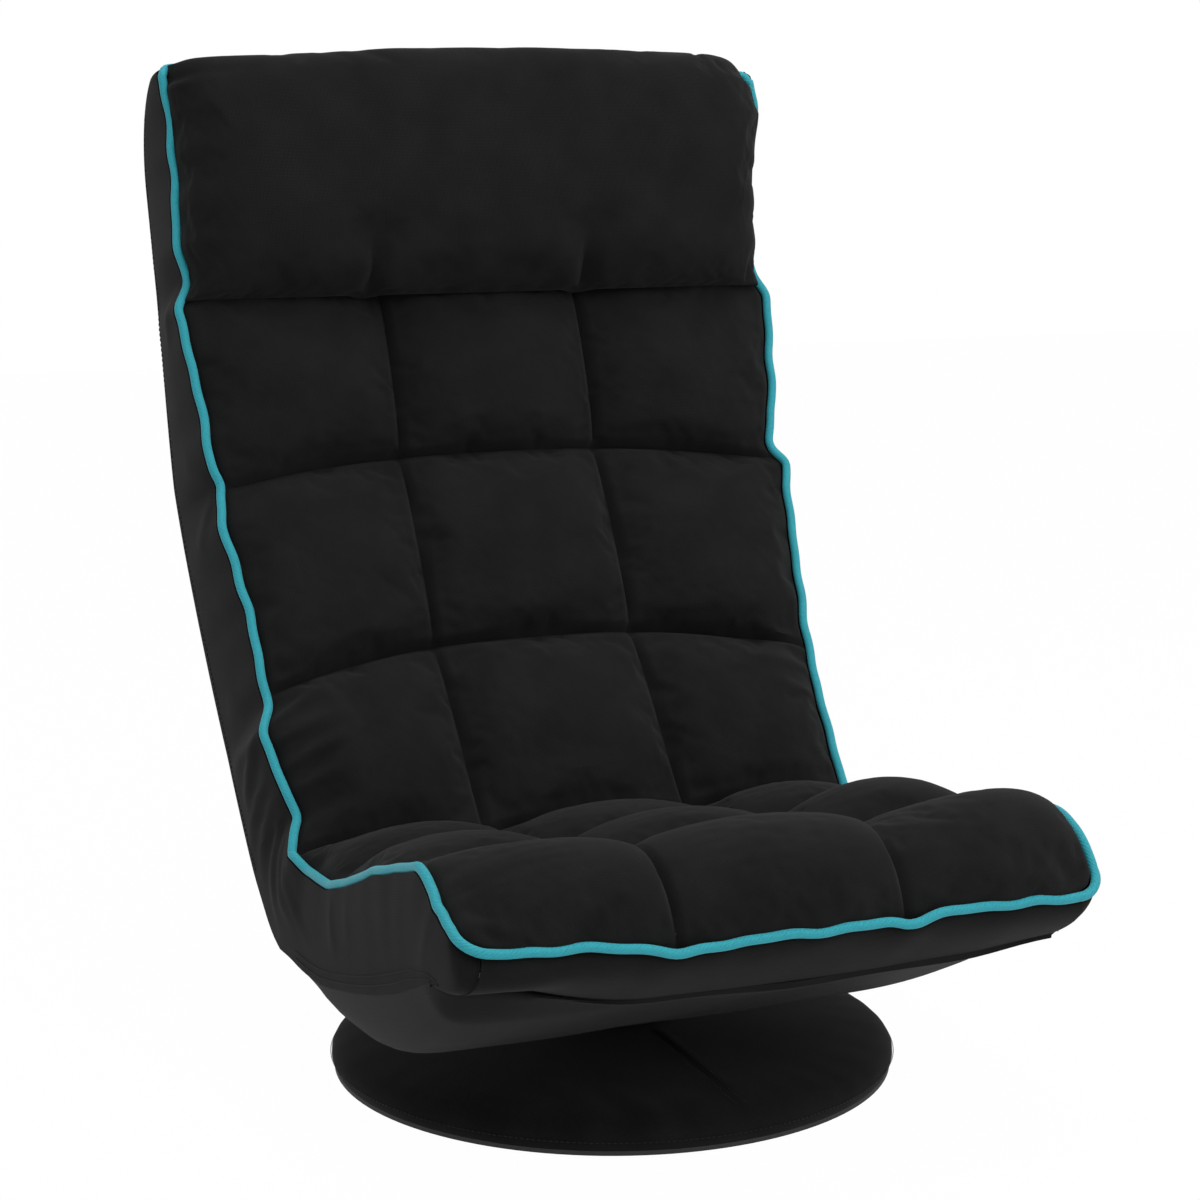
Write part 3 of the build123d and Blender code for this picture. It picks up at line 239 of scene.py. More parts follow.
class PieceBook:
    """Gathers the corners, faces and cloth coordinates of one piece and makes its mesh object."""

    def __init__(self, name: str) -> None:
        """Start an empty piece."""
        self.name = name
        self.points: list[ndarray] = []
        self.cloth: list[ndarray] = []
        self.faces: list[tuple[int, ...]] = []
        self.count = 0

    def corners(self, points: ndarray, cloth: ndarray | None = None) -> ndarray:
        """Add points in millimetres.

        Args:
            points: array of points in any layout, with x, y and z last.
            cloth: cloth coordinates in millimetres in the same layout, or None to use x and y.

        Returns:
            The points' numbers in the same layout.
        """
        flat = np.asarray(points, float).reshape(-1, 3)
        weave = flat[:, :2] if cloth is None else np.asarray(cloth, float).reshape(-1, 2)
        numbers = np.arange(self.count, self.count + len(flat))
        self.points.append(flat)
        self.cloth.append(weave)
        self.count += len(flat)
        return numbers.reshape(np.shape(points)[:-1])

    def quads(self, numbers: ndarray) -> None:
        """Add the faces of a grid of point numbers."""
        first = numbers[:-1, :-1].ravel()
        second = numbers[:-1, 1:].ravel()
        third = numbers[1:, 1:].ravel()
        fourth = numbers[1:, :-1].ravel()
        self.faces.extend(zip(first.tolist(), second.tolist(), third.tolist(), fourth.tolist()))

    def face(self, numbers: ndarray) -> None:
        """Add one face with many corners."""
        self.faces.append(tuple(int(number) for number in numbers))

    def piece(self, sharp_deg: float = 50.0) -> Object:
        """Make the object, with doubles merged and faces pointing outwards.

        Args:
            sharp_deg: edges bent by more than this stay sharp.

        Returns:
            The new object, in the scene and at the origin.
        """
        points = np.concatenate(self.points) * MM
        cloth = np.concatenate(self.cloth) * MM
        mesh = bpy.data.meshes.new(self.name)
        mesh.from_pydata(points.tolist(), [], self.faces)
        corners = np.empty(len(mesh.loops), np.int32)
        mesh.loops.foreach_get("vertex_index", corners)
        layer = mesh.uv_layers.new(name="cloth")
        layer.data.foreach_set("uv", cloth[corners].astype(np.float32).ravel())
        work = bmesh.new()
        work.from_mesh(mesh)
        bmesh.ops.remove_doubles(work, verts=work.verts, dist=SAME_POINT)
        bmesh.ops.dissolve_degenerate(work, edges=work.edges, dist=SMALLEST_EDGE)
        bmesh.ops.recalc_face_normals(work, faces=work.faces)
        work.to_mesh(mesh)
        work.free()
        mesh.polygons.foreach_set("use_smooth", [True] * len(mesh.polygons))
        mesh.set_sharp_from_angle(angle=math.radians(sharp_deg))
        return put(self.name, mesh)


def cloth_panel(name: str, grid: ndarray, cloth: ndarray, towards: Triple, thickness: float) -> Object:
    """Closed panel of cloth: the outer face is the grid and the inner face lies behind it.

    Args:
        name: name of the piece.
        grid: outer face in millimetres.
        cloth: cloth coordinates of the outer face.
        towards: rough direction out of the panel.
        thickness: thickness in millimetres.

    Returns:
        The new object.
    """
    book = PieceBook(name)
    front = book.corners(grid, cloth)
    rear = book.corners(grid - outward(grid, towards) * thickness, cloth)
    book.quads(front)
    book.quads(rear[::-1])
    for rim in np.s_[0], np.s_[-1], np.s_[:, 0], np.s_[:, -1]:
        book.quads(np.stack([front[rim], rear[rim]]))
    return book.piece()


def cord_along(name: str, path: ndarray, radius: float, sides: int, sharp_deg: float = 80.0) -> Object:
    """Round cord along a path, with closed ends.

    Args:
        name: name of the piece.
        path: points of the middle line in millimetres.
        radius: radius in millimetres.
        sides: corners round the cord.
        sharp_deg: edges bent by more than this stay sharp.

    Returns:
        The new object.
    """
    heading = np.gradient(path, axis=0)
    heading /= np.linalg.norm(heading, axis=1, keepdims=True)
    normal = np.cross(heading[0], (0.31, 0.57, 0.76))
    angles = np.linspace(0.0, 2 * math.pi, sides + 1)
    rings = []
    for point, ahead in zip(path, heading):
        normal = normal - ahead * float(normal @ ahead)
        normal /= np.linalg.norm(normal)
        across = np.cross(ahead, normal)
        rings.append(point + radius * (np.outer(np.cos(angles), normal) + np.outer(np.sin(angles), across)))
    girth = np.linspace(0.0, 2 * math.pi * radius, sides + 1)
    book = PieceBook(name)
    numbers = book.corners(np.array(rings), np.stack(np.meshgrid(girth, run_along(path)), axis=2))
    book.quads(numbers)
    book.face(numbers[0, :-1])
    book.face(numbers[-1, :-1])
    return book.piece(sharp_deg)


def billow(grid: ndarray, pinned: ndarray) -> ndarray:
    """Fill a sewn panel with air by cloth simulation, with its seams held.

    Args:
        grid: panel at rest in millimetres, facing out along its normals.
        pinned: True where a seam holds the cloth.

    Returns:
        The filled panel.
    """
    rows, columns = grid.shape[:2]
    numbers = np.arange(rows * columns).reshape(rows, columns)
    book = PieceBook("billow")
    book.quads(numbers)
    mesh = bpy.data.meshes.new("billow")
    mesh.from_pydata((grid.reshape(-1, 3) * MM).tolist(), [], book.faces)
    panel = put("billow", mesh)
    panel.vertex_groups.new(name="seams").add(numbers[pinned].tolist(), 1.0, "REPLACE")
    modifier = panel.modifiers.new("Cloth", "CLOTH")
    for setting, value in {
        "quality": 6, "mass": 0.02, "air_damping": 2.0, "tension_stiffness": 12.0,
        "compression_stiffness": 12.0, "shear_stiffness": 6.0, "bending_stiffness": 0.3, "use_pressure": True,
        "uniform_pressure_force": FILL_PRESSURE, "shrink_min": -SPARE_CLOTH, "vertex_group_mass": "seams",
    }.items():
        setattr(modifier.settings, setting, value)
    modifier.settings.effector_weights.gravity = 0.0
    modifier.point_cache.frame_start = 1
    modifier.point_cache.frame_end = FILL_FRAMES
    scene = bpy.context.scene
    for number in range(1, FILL_FRAMES + 1):
        scene.frame_set(number)
    filled = panel.evaluated_get(bpy.context.evaluated_depsgraph_get())
    flat = np.empty(rows * columns * 3)
    filled.data.vertices.foreach_get("co", flat)
    bpy.data.objects.remove(panel)
    bpy.data.meshes.remove(mesh)
    scene.frame_set(1)
    move = flat.reshape(rows, columns, 3) / MM - grid
    length = np.maximum(np.linalg.norm(move, axis=2, keepdims=True), TINY)
    log.info("cloth moved by up to %.1f mm", float(length.max()))
    return grid + move * np.minimum(1.0, FILL_REACH / length)


@dataclass(frozen=True)
class ScoopLine:
    """Side view of the chair: the piping line from the front seam, over the seat and up the back.

    Places on it are measured along it from the crease, below 0 on the seat and above 0 on the back.
    """

    crease_y: float = 44.0
    crease_z: float = 182.0
    seat_radius: float = 815.0
    seat_tilt: float = 1.25
    seat_nose: float = 288.0
    nose_radius: float = 60.0
    nose_turn: float = 104.0
    back_radius: float = 1038.0
    back_lean: float = 49.1
    fold_reach: float = 45.0
    seat_rear_half: float = 238.0
    seat_widening: float = 15.5 / 340.0
    back_low_half: float = 240.0
    back_widening: float = 29.0 / 580.0
    seat_start: float = -18.0
    back_start: float = 33.0
    back_top: float = 645.0
    cover_gap: float = 0.6
    corner: float = 18.0
    top_corner: float = 6.0
    pucker_in: float = 0.55
    pucker_out: float = 0.4

    @property
    def front_seam(self) -> float:
        """Place of the front seam under the nose."""
        return -self.seat_nose - self.nose_radius * math.radians(self.nose_turn)

    def station(self, place: ndarray) -> tuple[ndarray, ...]:
        """Middle line and outward direction at a place along the chair.

        Args:
            place: places in millimetres.

        Returns:
            y, z, the outward direction's y and z, and half the width.
        """
        place = np.asarray(place, float)
        lean_start = math.radians(self.back_lean)
        lean = lean_start + np.maximum(place, 0.0) / self.back_radius
        back_y = self.crease_y + self.back_radius * (np.sin(lean) - math.sin(lean_start))
        back_z = self.crease_z + self.back_radius * (math.cos(lean_start) - np.cos(lean))
        tilt_start = math.radians(self.seat_tilt)
        tilt = tilt_start + np.clip(-place, 0.0, self.seat_nose) / self.seat_radius
        turned = tilt - np.maximum(-place - self.seat_nose, 0.0) / self.nose_radius
        seat_y = self.crease_y + self.seat_radius * (math.sin(tilt_start) - np.sin(tilt))
        seat_z = self.crease_z + self.seat_radius * (math.cos(tilt_start) - np.cos(tilt))
        seat_y = seat_y + self.nose_radius * (np.sin(turned) - np.sin(tilt))
        seat_z = seat_z + self.nose_radius * (np.cos(turned) - np.cos(tilt))
        share = smooth_step(-self.fold_reach, self.fold_reach, place)
        out_y = (1 - share) * np.sin(turned) - share * np.sin(lean)
        out_z = (1 - share) * np.cos(turned) + share * np.cos(lean)
        size = np.hypot(out_y, out_z)
        y = np.where(place >= 0, back_y, seat_y)
        z = np.where(place >= 0, back_z, seat_z)
        seat_half = self.seat_rear_half + (self.crease_y - y) * self.seat_widening
        back_half = self.back_low_half + (z - self.crease_z) * self.back_widening
        return y, z, out_y / size, out_z / size, (1 - share) * seat_half + share * back_half

    def points(self, place: ndarray, out: ndarray, x: ndarray) -> ndarray:
        """Points at places along the chair, heights out of the piping line and x across it."""
        y, z, out_y, out_z, _ = self.station(place)
        out = np.asarray(out, float)
        x = np.asarray(x, float)
        return np.stack(np.broadcast_arrays(x, y + out * out_y, z + out * out_z), axis=-1)

    def half(self, place: ndarray) -> ndarray:
        """Half the width of the chair at places along it."""
        return self.station(place)[4]

    def edge_wave(self, place: ndarray, side: Side) -> tuple[ndarray, ndarray]:
        """How the sewn edge wanders: pulled in at the row seams and full between them, with round corners.

        Args:
            place: places along the chair.
            side: side of the chair.

        Returns:
            How far the edge is pulled inwards, and how far it stands out of the line.
        """
        place = np.asarray(place, float)
        knots, taps = EDGE_KNOTS[side], (-3.0, 0.0, 3.0)
        inward, stand = (through_knots(place, knots, taps, column) for column in (1, 2))
        phase = EDGE_PHASE[side]
        calm = 0.3 + 0.7 * smooth_step(-60.0, 120.0, place)
        ripple = np.sin(place / 6.3 + phase) + 0.8 * np.sin(place / 9.7 + 2.1 * phase)
        inward = inward + self.pucker_in * calm * ripple
        stand = stand + self.pucker_out * calm * np.sin(place / 7.9 + 1.7 * phase)
        front = np.clip(self.front_seam + self.corner - place, 0.0, self.corner)
        inward = inward + self.corner - np.sqrt(self.corner**2 - front**2)
        return inward + self.top_rounding(place), stand

    def top_rounding(self, place: ndarray) -> ndarray:
        """How far the top corners of the back are rounded off."""
        start = self.back_top - 1.0 - self.top_corner
        past = np.clip(np.asarray(place, float) - start, 0.0, self.top_corner)
        return self.top_corner - np.sqrt(self.top_corner**2 - past**2)

    def back_places(self, count: int) -> ndarray:
        """Places up the back, closer together towards its rounded top."""
        rise = 1.0 - (1.0 - np.linspace(0.0, 1.0, count)) ** 1.35
        return self.back_start + (self.back_top - self.back_start) * rise

    def corner_at(self, place: float) -> float:
        """Radius of the corners at the top of the back or at the front of the seat."""
        return self.top_corner if place > 0.0 else self.corner

    def front_wave(self, x: ndarray) -> ndarray:
        """How far the front seam dips below its line across the chair."""
        x = np.asarray(x, float)
        dips = through_knots(x, FRONT_KNOTS, (-5.0, 0.0, 5.0))
        return dips + 0.7 * np.sin(x / 11.0 + 0.6) + 0.5 * np.sin(x / 6.1)

    def front_shift(self, place: ndarray, x: ndarray) -> ndarray:
        """Places moved along with the wander of the front seam, which fades away from it."""
        return place - self.front_wave(x) * (1.0 - smooth_step(18.0, 80.0, place - self.front_seam))


EDGE_KNOTS = {
    Side.LEFT: (
        (-400, 3, -2), (-385, 2, -6), (-365, 1, -14), (-335, 0, -17), (-310, 0, -11),
        (-286, 0, 2), (-240, -1, 5), (-190, -3, 5), (-77, -5, -13), (-25, -6, -11),
        (-8, -10, -5), (0, -11, -4), (14, -5, -4), (29, 4, -4), (47, -2, 0), (98, -8, 2),
        (122, 2.5, -3), (132, 3.4, -3), (160, 3, 1), (202, 4, 2), (274, -3, 2),
        (299, 2, -3), (307, 4, -3), (319, -2, 1), (377, -2, 2), (451, -8, 2),
        (466, 2, -3), (474, 4.3, -3), (499, -1, 1), (564, 4.5, 1.5), (611, 5.5, 1.5),
        (660, 1, 1),
    ),
    Side.RIGHT: (
        (-400, 16, -4), (-385, 14, -8), (-365, 13, -11), (-335, 12, -12), (-310, 10, -11),
        (-286, 7, -9), (-262, 4, -7), (-240, 3, -6), (-190, 2, -4), (-77, 1, -9),
        (-25, 0, -9),
        (-8, 1, -4), (9, 2, -4), (50, 3, -2), (82, 4, 0), (132, 1.5, -2),
        (164, 0, 0), (210, -2.5, 1.5), (274, -6, 2), (299, -9, 1), (312, 0, -3),
        (320, 2.2, -3), (355, -4, 1.5), (409, -7, 2), (449, -8.3, 2), (466, 0, -2),
        (479, 4.1, -3), (498, 3, 1), (551, 4, 1.5), (586, -1.5, 1.5), (616, -3.5, 1.5),
        (660, 4, 1),
    ),
}
FRONT_KNOTS = (
    (-243, -10), (-202, -8), (-145, -4), (-114, 1), (-95, 8), (-73, 4), (-26, 3.5),
    (35, 4.5), (63, 4), (80, 7.5), (99, 3.5), (131, 2), (197, 4.5), (240, 4),
)
EDGE_PHASE = {Side.LEFT: 0.8, Side.RIGHT: 2.3}
LINE = ScoopLine()


class NodeBench:
    """Adds nodes to a tree and wires them."""

    def __init__(self, tree: NodeTree) -> None:
        """Keep the tree."""
        self.tree = tree

    def feed(self, node: Node, inputs: dict) -> None:
        """Set inputs of a node, by name or number, to a value or to another node's socket."""
        for name, value in inputs.items():
            if isinstance(value, NodeSocket):
                self.tree.links.new(value, node.inputs[name])
            else:
                node.inputs[name].default_value = value

    def add(self, kind: str, inputs: dict | None = None, **settings: str) -> Node:
        """Add a node with its settings and inputs."""
        node = self.tree.nodes.new(kind)
        for name, value in settings.items():
            setattr(node, name, value)
        self.feed(node, inputs or {})
        return node

    def math(self, operation: str, first: NodeSocket, second: NodeSocket | float) -> NodeSocket:
        """Combine two values."""
        return self.add("ShaderNodeMath", {0: first, 1: second}, operation=operation).outputs[0]

    def noise(self, place: NodeSocket, scale: float, detail: float) -> NodeSocket:
        """Cloudy noise over a place."""
        inputs = {"Vector": place, "Scale": scale, "Detail": detail}
        return self.add("ShaderNodeTexNoise", inputs).outputs["Fac"]

    def bands(self, place: NodeSocket, direction: str, pitch: float, **inputs: float) -> NodeSocket:
        """Soft bands over a place, one for each pitch."""
        inputs |= {"Vector": place, "Scale": math.pi / (10.0 * pitch)}
        node = self.add("ShaderNodeTexWave", inputs, wave_type="BANDS", bands_direction=direction)
        return node.outputs["Fac"]

    def ramp(self, share: NodeSocket, *stops: tuple[float, Triple]) -> NodeSocket:
        """Colour that runs from one stop to the other."""
        node = self.add("ShaderNodeValToRGB", {"Fac": share})
        for element, (position, colour) in zip(node.color_ramp.elements, stops):
            element.position = position
            element.color = (*colour, 1.0)
        return node.outputs["Color"]

    def bump(self, height: NodeSocket, strength: float, depth: float) -> NodeSocket:
        """Surface direction over a fine relief."""
        inputs = {"Height": height, "Strength": strength, "Distance": depth}
        return self.add("ShaderNodeBump", inputs).outputs["Normal"]


@dataclass(frozen=True)
class Finish:
    """A finish with a dark and a light colour; each kind of finish wires its own nodes."""

    name: str
    colour: Triple
    light_colour: Triple

    def shader(self, bench: NodeBench) -> dict:
        """Wire the nodes and give the inputs of the main shader."""
        raise NotImplementedError

    def material(self) -> Material:
        """Build the node material."""
        material = bpy.data.materials.new(self.name)
        material.use_nodes = True
        bench = NodeBench(material.node_tree)
        bench.feed(material.node_tree.nodes["Principled BSDF"], self.shader(bench))
        return material


@dataclass(frozen=True)
class ClothFinish(Finish):
    """Woven cover cloth, with threads that follow the piece's cloth coordinates."""

    thread: float = 0.0011
    roughness: float = 0.92
    sheen: float = 0.04
    bump: float = 0.35
    relief: float = 0.0004

    def shader(self, bench: NodeBench) -> dict:
        """Wire the cloth.

        Args:
            bench: bench of the material's tree.

        Returns:
            Inputs of the main shader.
        """
        place = bench.add("ShaderNodeTexCoord").outputs
        threads = [bench.bands(place["UV"], axis, self.thread, Distortion=0.6, Detail=1.0) for axis in "XY"]
        height = bench.math("ADD", bench.math("MAXIMUM", *threads), bench.noise(place["UV"], 620.0, 3.0))
        shade = bench.math("MULTIPLY", bench.noise(place["Object"], 24.0, 5.0), height)
        return {
            "Roughness": self.roughness, "Sheen Weight": self.sheen, "Sheen Roughness": 0.45,
            "Sheen Tint": (0.8, 0.8, 0.8, 1.0), "Specular IOR Level": 0.11,
            "Normal": bench.bump(height, self.bump, self.relief),
            "Base Color": bench.ramp(shade, (0.2, self.colour), (1.0, self.light_colour)),
        }


@dataclass(frozen=True)
class CordFinish(Finish):
    """Piping cloth: bias-cut ribs round the cord."""

    rib: float = 0.0016
    relief: float = 0.0004

    def shader(self, bench: NodeBench) -> dict:
        """Wire the ribs.

        Args:
            bench: bench of the material's tree.

        Returns:
            Inputs of the main shader.
        """
        place = bench.add("ShaderNodeTexCoord").outputs["UV"]
        ribs = bench.bands(place, "DIAGONAL", self.rib, Distortion=1.2)
        height = bench.math("ADD", ribs, bench.noise(place, 320.0, 4.0))
        return {
            "Roughness": 0.72, "Sheen Weight": 0.15, "Sheen Roughness": 0.4, "Specular IOR Level": 0.35,
            "Normal": bench.bump(height, 0.4, self.relief),
            "Base Color": bench.ramp(height, (0.25, self.colour), (0.7, self.light_colour)),
        }


@dataclass(frozen=True)
class HardFinish(Finish):
    """Finish of a hidden or hard piece: painted or bare steel, board or foam."""

    grain: Grain
    roughness: float
    metallic: float = 0.0
    unevenness: float = 0.08

    def shader(self, bench: NodeBench) -> dict:
        """Wire the grain and the wear.

        Args:
            bench: bench of the material's tree.

        Returns:
            Inputs of the main shader.
        """
        scale, stretch, relief = {
            Grain.PAINTED: (900.0, 1.0, 0.00005),
            Grain.BRUSHED: (260.0, 12.0, 0.00004),
            Grain.PRESSED_BOARD: (150.0, 1.0, 0.0003),
            Grain.OPEN_CELL: (420.0, 1.0, 0.0009),
        }[self.grain]
        place = bench.add("ShaderNodeTexCoord").outputs["Object"]
        stretched = bench.add("ShaderNodeMapping", {"Vector": place, "Scale": (1.0, stretch, 1.0)})
        grain = bench.noise(stretched.outputs["Vector"], scale, 4.0)
        wear = bench.noise(place, 18.0, 6.0)
        low, high = self.roughness - self.unevenness, self.roughness + self.unevenness
        rough = bench.add("ShaderNodeMapRange", {"Value": grain, "To Min": low, "To Max": high})
        return {
            "Metallic": self.metallic, "Roughness": rough.outputs["Result"],
            "Normal": bench.bump(grain, 0.5, relief),
            "Base Color": bench.ramp(wear, (0.35, self.colour), (0.75, self.light_colour)),
        }


class Wardrobe:
    """All finishes of the chair, made once."""

    def __init__(self) -> None:
        """Build every material."""
        cover = ClothFinish("black_woven_cover", (0.0036, 0.0036, 0.0036), (0.0098, 0.0098, 0.0098))
        lining = ClothFinish(
            "dark_lining", (0.0036, 0.0036, 0.0037), (0.0078, 0.0078, 0.0079), 0.0007,
            roughness=0.75, sheen=0.03,
        )
        webbing = ClothFinish("black_webbing", (0.012, 0.012, 0.012), (0.04, 0.04, 0.04), 0.0022, bump=0.6)
        thread = ClothFinish("black_thread", (0.01, 0.01, 0.011), (0.03, 0.03, 0.032), 0.0003, roughness=0.6)
        piping = CordFinish("turquoise_piping", (0.0075, 0.175, 0.22), (0.017, 0.295, 0.35))
        black, worn = (0.012, 0.012, 0.013), (0.022, 0.022, 0.024)
        paint = HardFinish("black_frame_paint", black, worn, Grain.PAINTED, 0.42)
        black, worn = (0.02, 0.02, 0.022), (0.05, 0.05, 0.052)
        swivel = HardFinish("black_swivel_steel", black, worn, Grain.BRUSHED, 0.36, metallic=0.6)
        zinc, worn = (0.42, 0.43, 0.44), (0.58, 0.58, 0.57)
        hinge = HardFinish("zinc_hinge_steel", zinc, worn, Grain.BRUSHED, 0.36, metallic=1.0)
        dark, worn = (0.008, 0.008, 0.0075), (0.016, 0.0155, 0.0145)
        board = HardFinish("dark_pressed_board", dark, worn, Grain.PRESSED_BOARD, 0.8)
        foam = HardFinish("cream_foam", (0.62, 0.55, 0.36), (0.74, 0.68, 0.5), Grain.OPEN_CELL, 0.9)
        self.cover, self.lining, self.webbing, self.thread, self.piping = (
            finish.material() for finish in (cover, lining, webbing, thread, piping)
        )
        self.frame_paint, self.swivel_steel, self.hinge_steel, self.board, self.foam = (
            finish.material() for finish in (paint, swivel, hinge, board, foam)
        )


@dataclass
class TuftedTop:
    """The tufted front of seat and back: three columns, and six rows from the front seam to the head roll.

    A valley or pit holds its height and what the fold and the front hem add to it. The right side's rise and
    crests each hold a size, a place and a width.
    """

    wardrobe: Wardrobe
    rows: tuple[float, ...] = (-215.0, -108.0, 0.0, 165.0, 326.0, 468.0)
    row_ends: Knots = (
        (-397, 0), (-215, -6), (-108, 29), (-40, 0), (40, 0), (165, -33), (326, -22), (468, 8),
    )
    row_cells: tuple[int, ...] = (36, 22, 24, 28, 33, 33)
    column_line: float = 87.0
    outer_cells: int = 29
    middle_cells: int = 34
    crowns: tuple[float, ...] = (9.0, 22.5, 18.5, 18.0, 18.0, 18.0)
    right_rise: Triple = (5.0, -165.0, 45.0)
    right_crests: Knots = ((0.75, -235.0, 90.0), (0.7, -315.0, 45.0))
    drift: float = 7.0
    drift_span: tuple[float, float] = (120.0, 260.0)
    fullness: float = 0.52
    back_skew: float = 0.85
    lean_power: float = 1.4
    valley: Triple = (-13.0, 9.0, 13.0)
    pit: Triple = (-22.0, 13.0, 14.0)
    channel: float = -8.0
    edge: float = -3.2
    hem_rise: float = 4.5
    fold_width: float = 50.0
    hem_width: float = 40.0
    floor: float = -30.0
    border: float = 7.3
    tuck: float = 26.0

    def places(self) -> ndarray:
        """Places of the grid's rows, with one on each seam."""
        seams = (LINE.front_seam, *self.rows)
        spans = zip(seams, seams[1:], self.row_cells)
        runs = [np.linspace(low, high, cells, endpoint=False) for low, high, cells in spans]
        return np.concatenate([*runs, [seams[-1]]])

    def columns(self) -> ndarray:
        """Columns of the grid as shares: -3 and 3 at the borders, -1 and 1 at the channels."""
        outer = np.linspace(1.0, 3.0, self.outer_cells + 1)[1:]
        return np.concatenate([-outer[::-1], np.linspace(-1.0, 1.0, self.middle_cells + 1), outer])

    def rest_shape(self) -> tuple[ndarray, ndarray]:
        """Shape of the top as sewn, before it is filled.

        Returns:
            The grid in millimetres, and True where a seam holds it.
        """
        places = self.places()
        columns = self.columns()
        seams = np.array([LINE.front_seam, *self.rows])
        row = np.clip(np.searchsorted(seams, places, side="right") - 1, 0, len(seams) - 2)
        along = (places - seams[row]) / (seams[row + 1] - seams[row])
        share = pillow(np.where(places > 0.0, along**self.back_skew, along), self.fullness)
        fold = bump_at(places, 0.0, self.fold_width)
        hem = bump_at(places, LINE.front_seam, self.hem_width)
        valley, pit = (low + lift * fold + rise * hem for low, lift, rise in (self.valley, self.pit))
        crown = valley + share * (np.array(self.crowns)[row] - valley)
        channel = pit + share * (self.channel - pit)
        lean = through_knots(places, self.row_ends)
        grid = np.empty((len(places), len(columns), 3))
        for number, column in enumerate(columns):
            side = Side.LEFT if column < 0 else Side.RIGHT
            across = max(abs(column) - 1.0, 0.0) / 2.0
            shown = places + lean * across**self.lean_power
            if across > 0.0:
                inward, stand = LINE.edge_wave(shown, side)
                wide = LINE.half(shown) - LINE.cover_gap - self.border - inward - self.column_line
                distance = self.column_line + across * wide
                rim = self.edge + stand + self.hem_rise * hem
                swell = crown - 0.5 * (channel + rim)
                crest = np.ones_like(places)
                if side is Side.RIGHT:
                    swell = swell + self.right_rise[0] * bump_at(places, *self.right_rise[1:])
                    for height, *where in self.right_crests:
                        crest = crest + height * bump_at(places, *where)
                out = (1 - across) * channel + across * rim + swell * pillow(across**crest, self.fullness)
                out = out + sum(ridge.lift(shown, np.array(across), wide) for ridge in TOP_FOLDS[side])
            else:
                distance = np.full_like(places, abs(column) * self.column_line)
                out = channel + (crown - channel) * pillow(np.array((column + 1.0) / 2.0), self.fullness)
            aside = self.drift * (1.0 - across) * smooth_step(*self.drift_span, -places)
            x = math.copysign(1.0, column) * distance - aside
            grid[:, number] = LINE.points(LINE.front_shift(shown, x), out, x)
        pinned = np.zeros(grid.shape[:2], bool)
        pinned[np.isin(np.round(places, 6), np.round(seams, 6))] = True
        pinned[:, np.isin(np.round(np.abs(columns), 6), (1.0, 3.0))] = True
        return grid, pinned

    def pad(self, name: str, grid: ndarray, places: ndarray) -> Object:
        """Close a stretch of the top into a pad with a flat floor.

        Args:
            name: name of the piece.
            grid: filled stretch of the top.
            places: places of its rows.

        Returns:
            The pad.
        """
        book = PieceBook(name)
        top = book.corners(grid, weave(grid[:, :, 0], places[:, None]))
        book.quads(top)
        left, right = (
            book.corners(LINE.points(places, self.floor, x), np.stack([x + tuck, places], 1))
            for x, tuck in ((grid[:, 0, 0], -self.tuck), (grid[:, -1, 0], self.tuck))
        )
        for pair in ((top[:, 0], left), (top[:, -1], right), (left, right)):
            book.quads(np.stack(pair))
        for end in (0, -1):
            book.face(np.concatenate([[left[end]], top[end], [right[end]]]))
        return book.piece()

    def build(self) -> tuple[ndarray, ndarray]:
        """Fill the sewn top and make the seat pad and the back pad.

        Returns:
            The stretch of the top between them, which the waist takes, and the places of its rows.
        """
        grid = refine(billow(*self.rest_shape()))
        places = finer_places(self.places())
        first = int(np.argmax(places > LINE.seat_start + 1e-6)) - 1
        last = int(np.argmax(places >= LINE.back_start - 1e-6))
        for name, rows, body, node in (
            ("seat_cushion", np.s_[: first + 1], "seat", "seat_pad"),
            ("back_cushion", np.s_[last:], "back", "back_pad"),
        ):
            piece = self.pad(name, grid[rows], places[rows])
            hand_over(piece, body, node, self.wardrobe.cover)
        return grid[first : last + 1], places[first : last + 1]


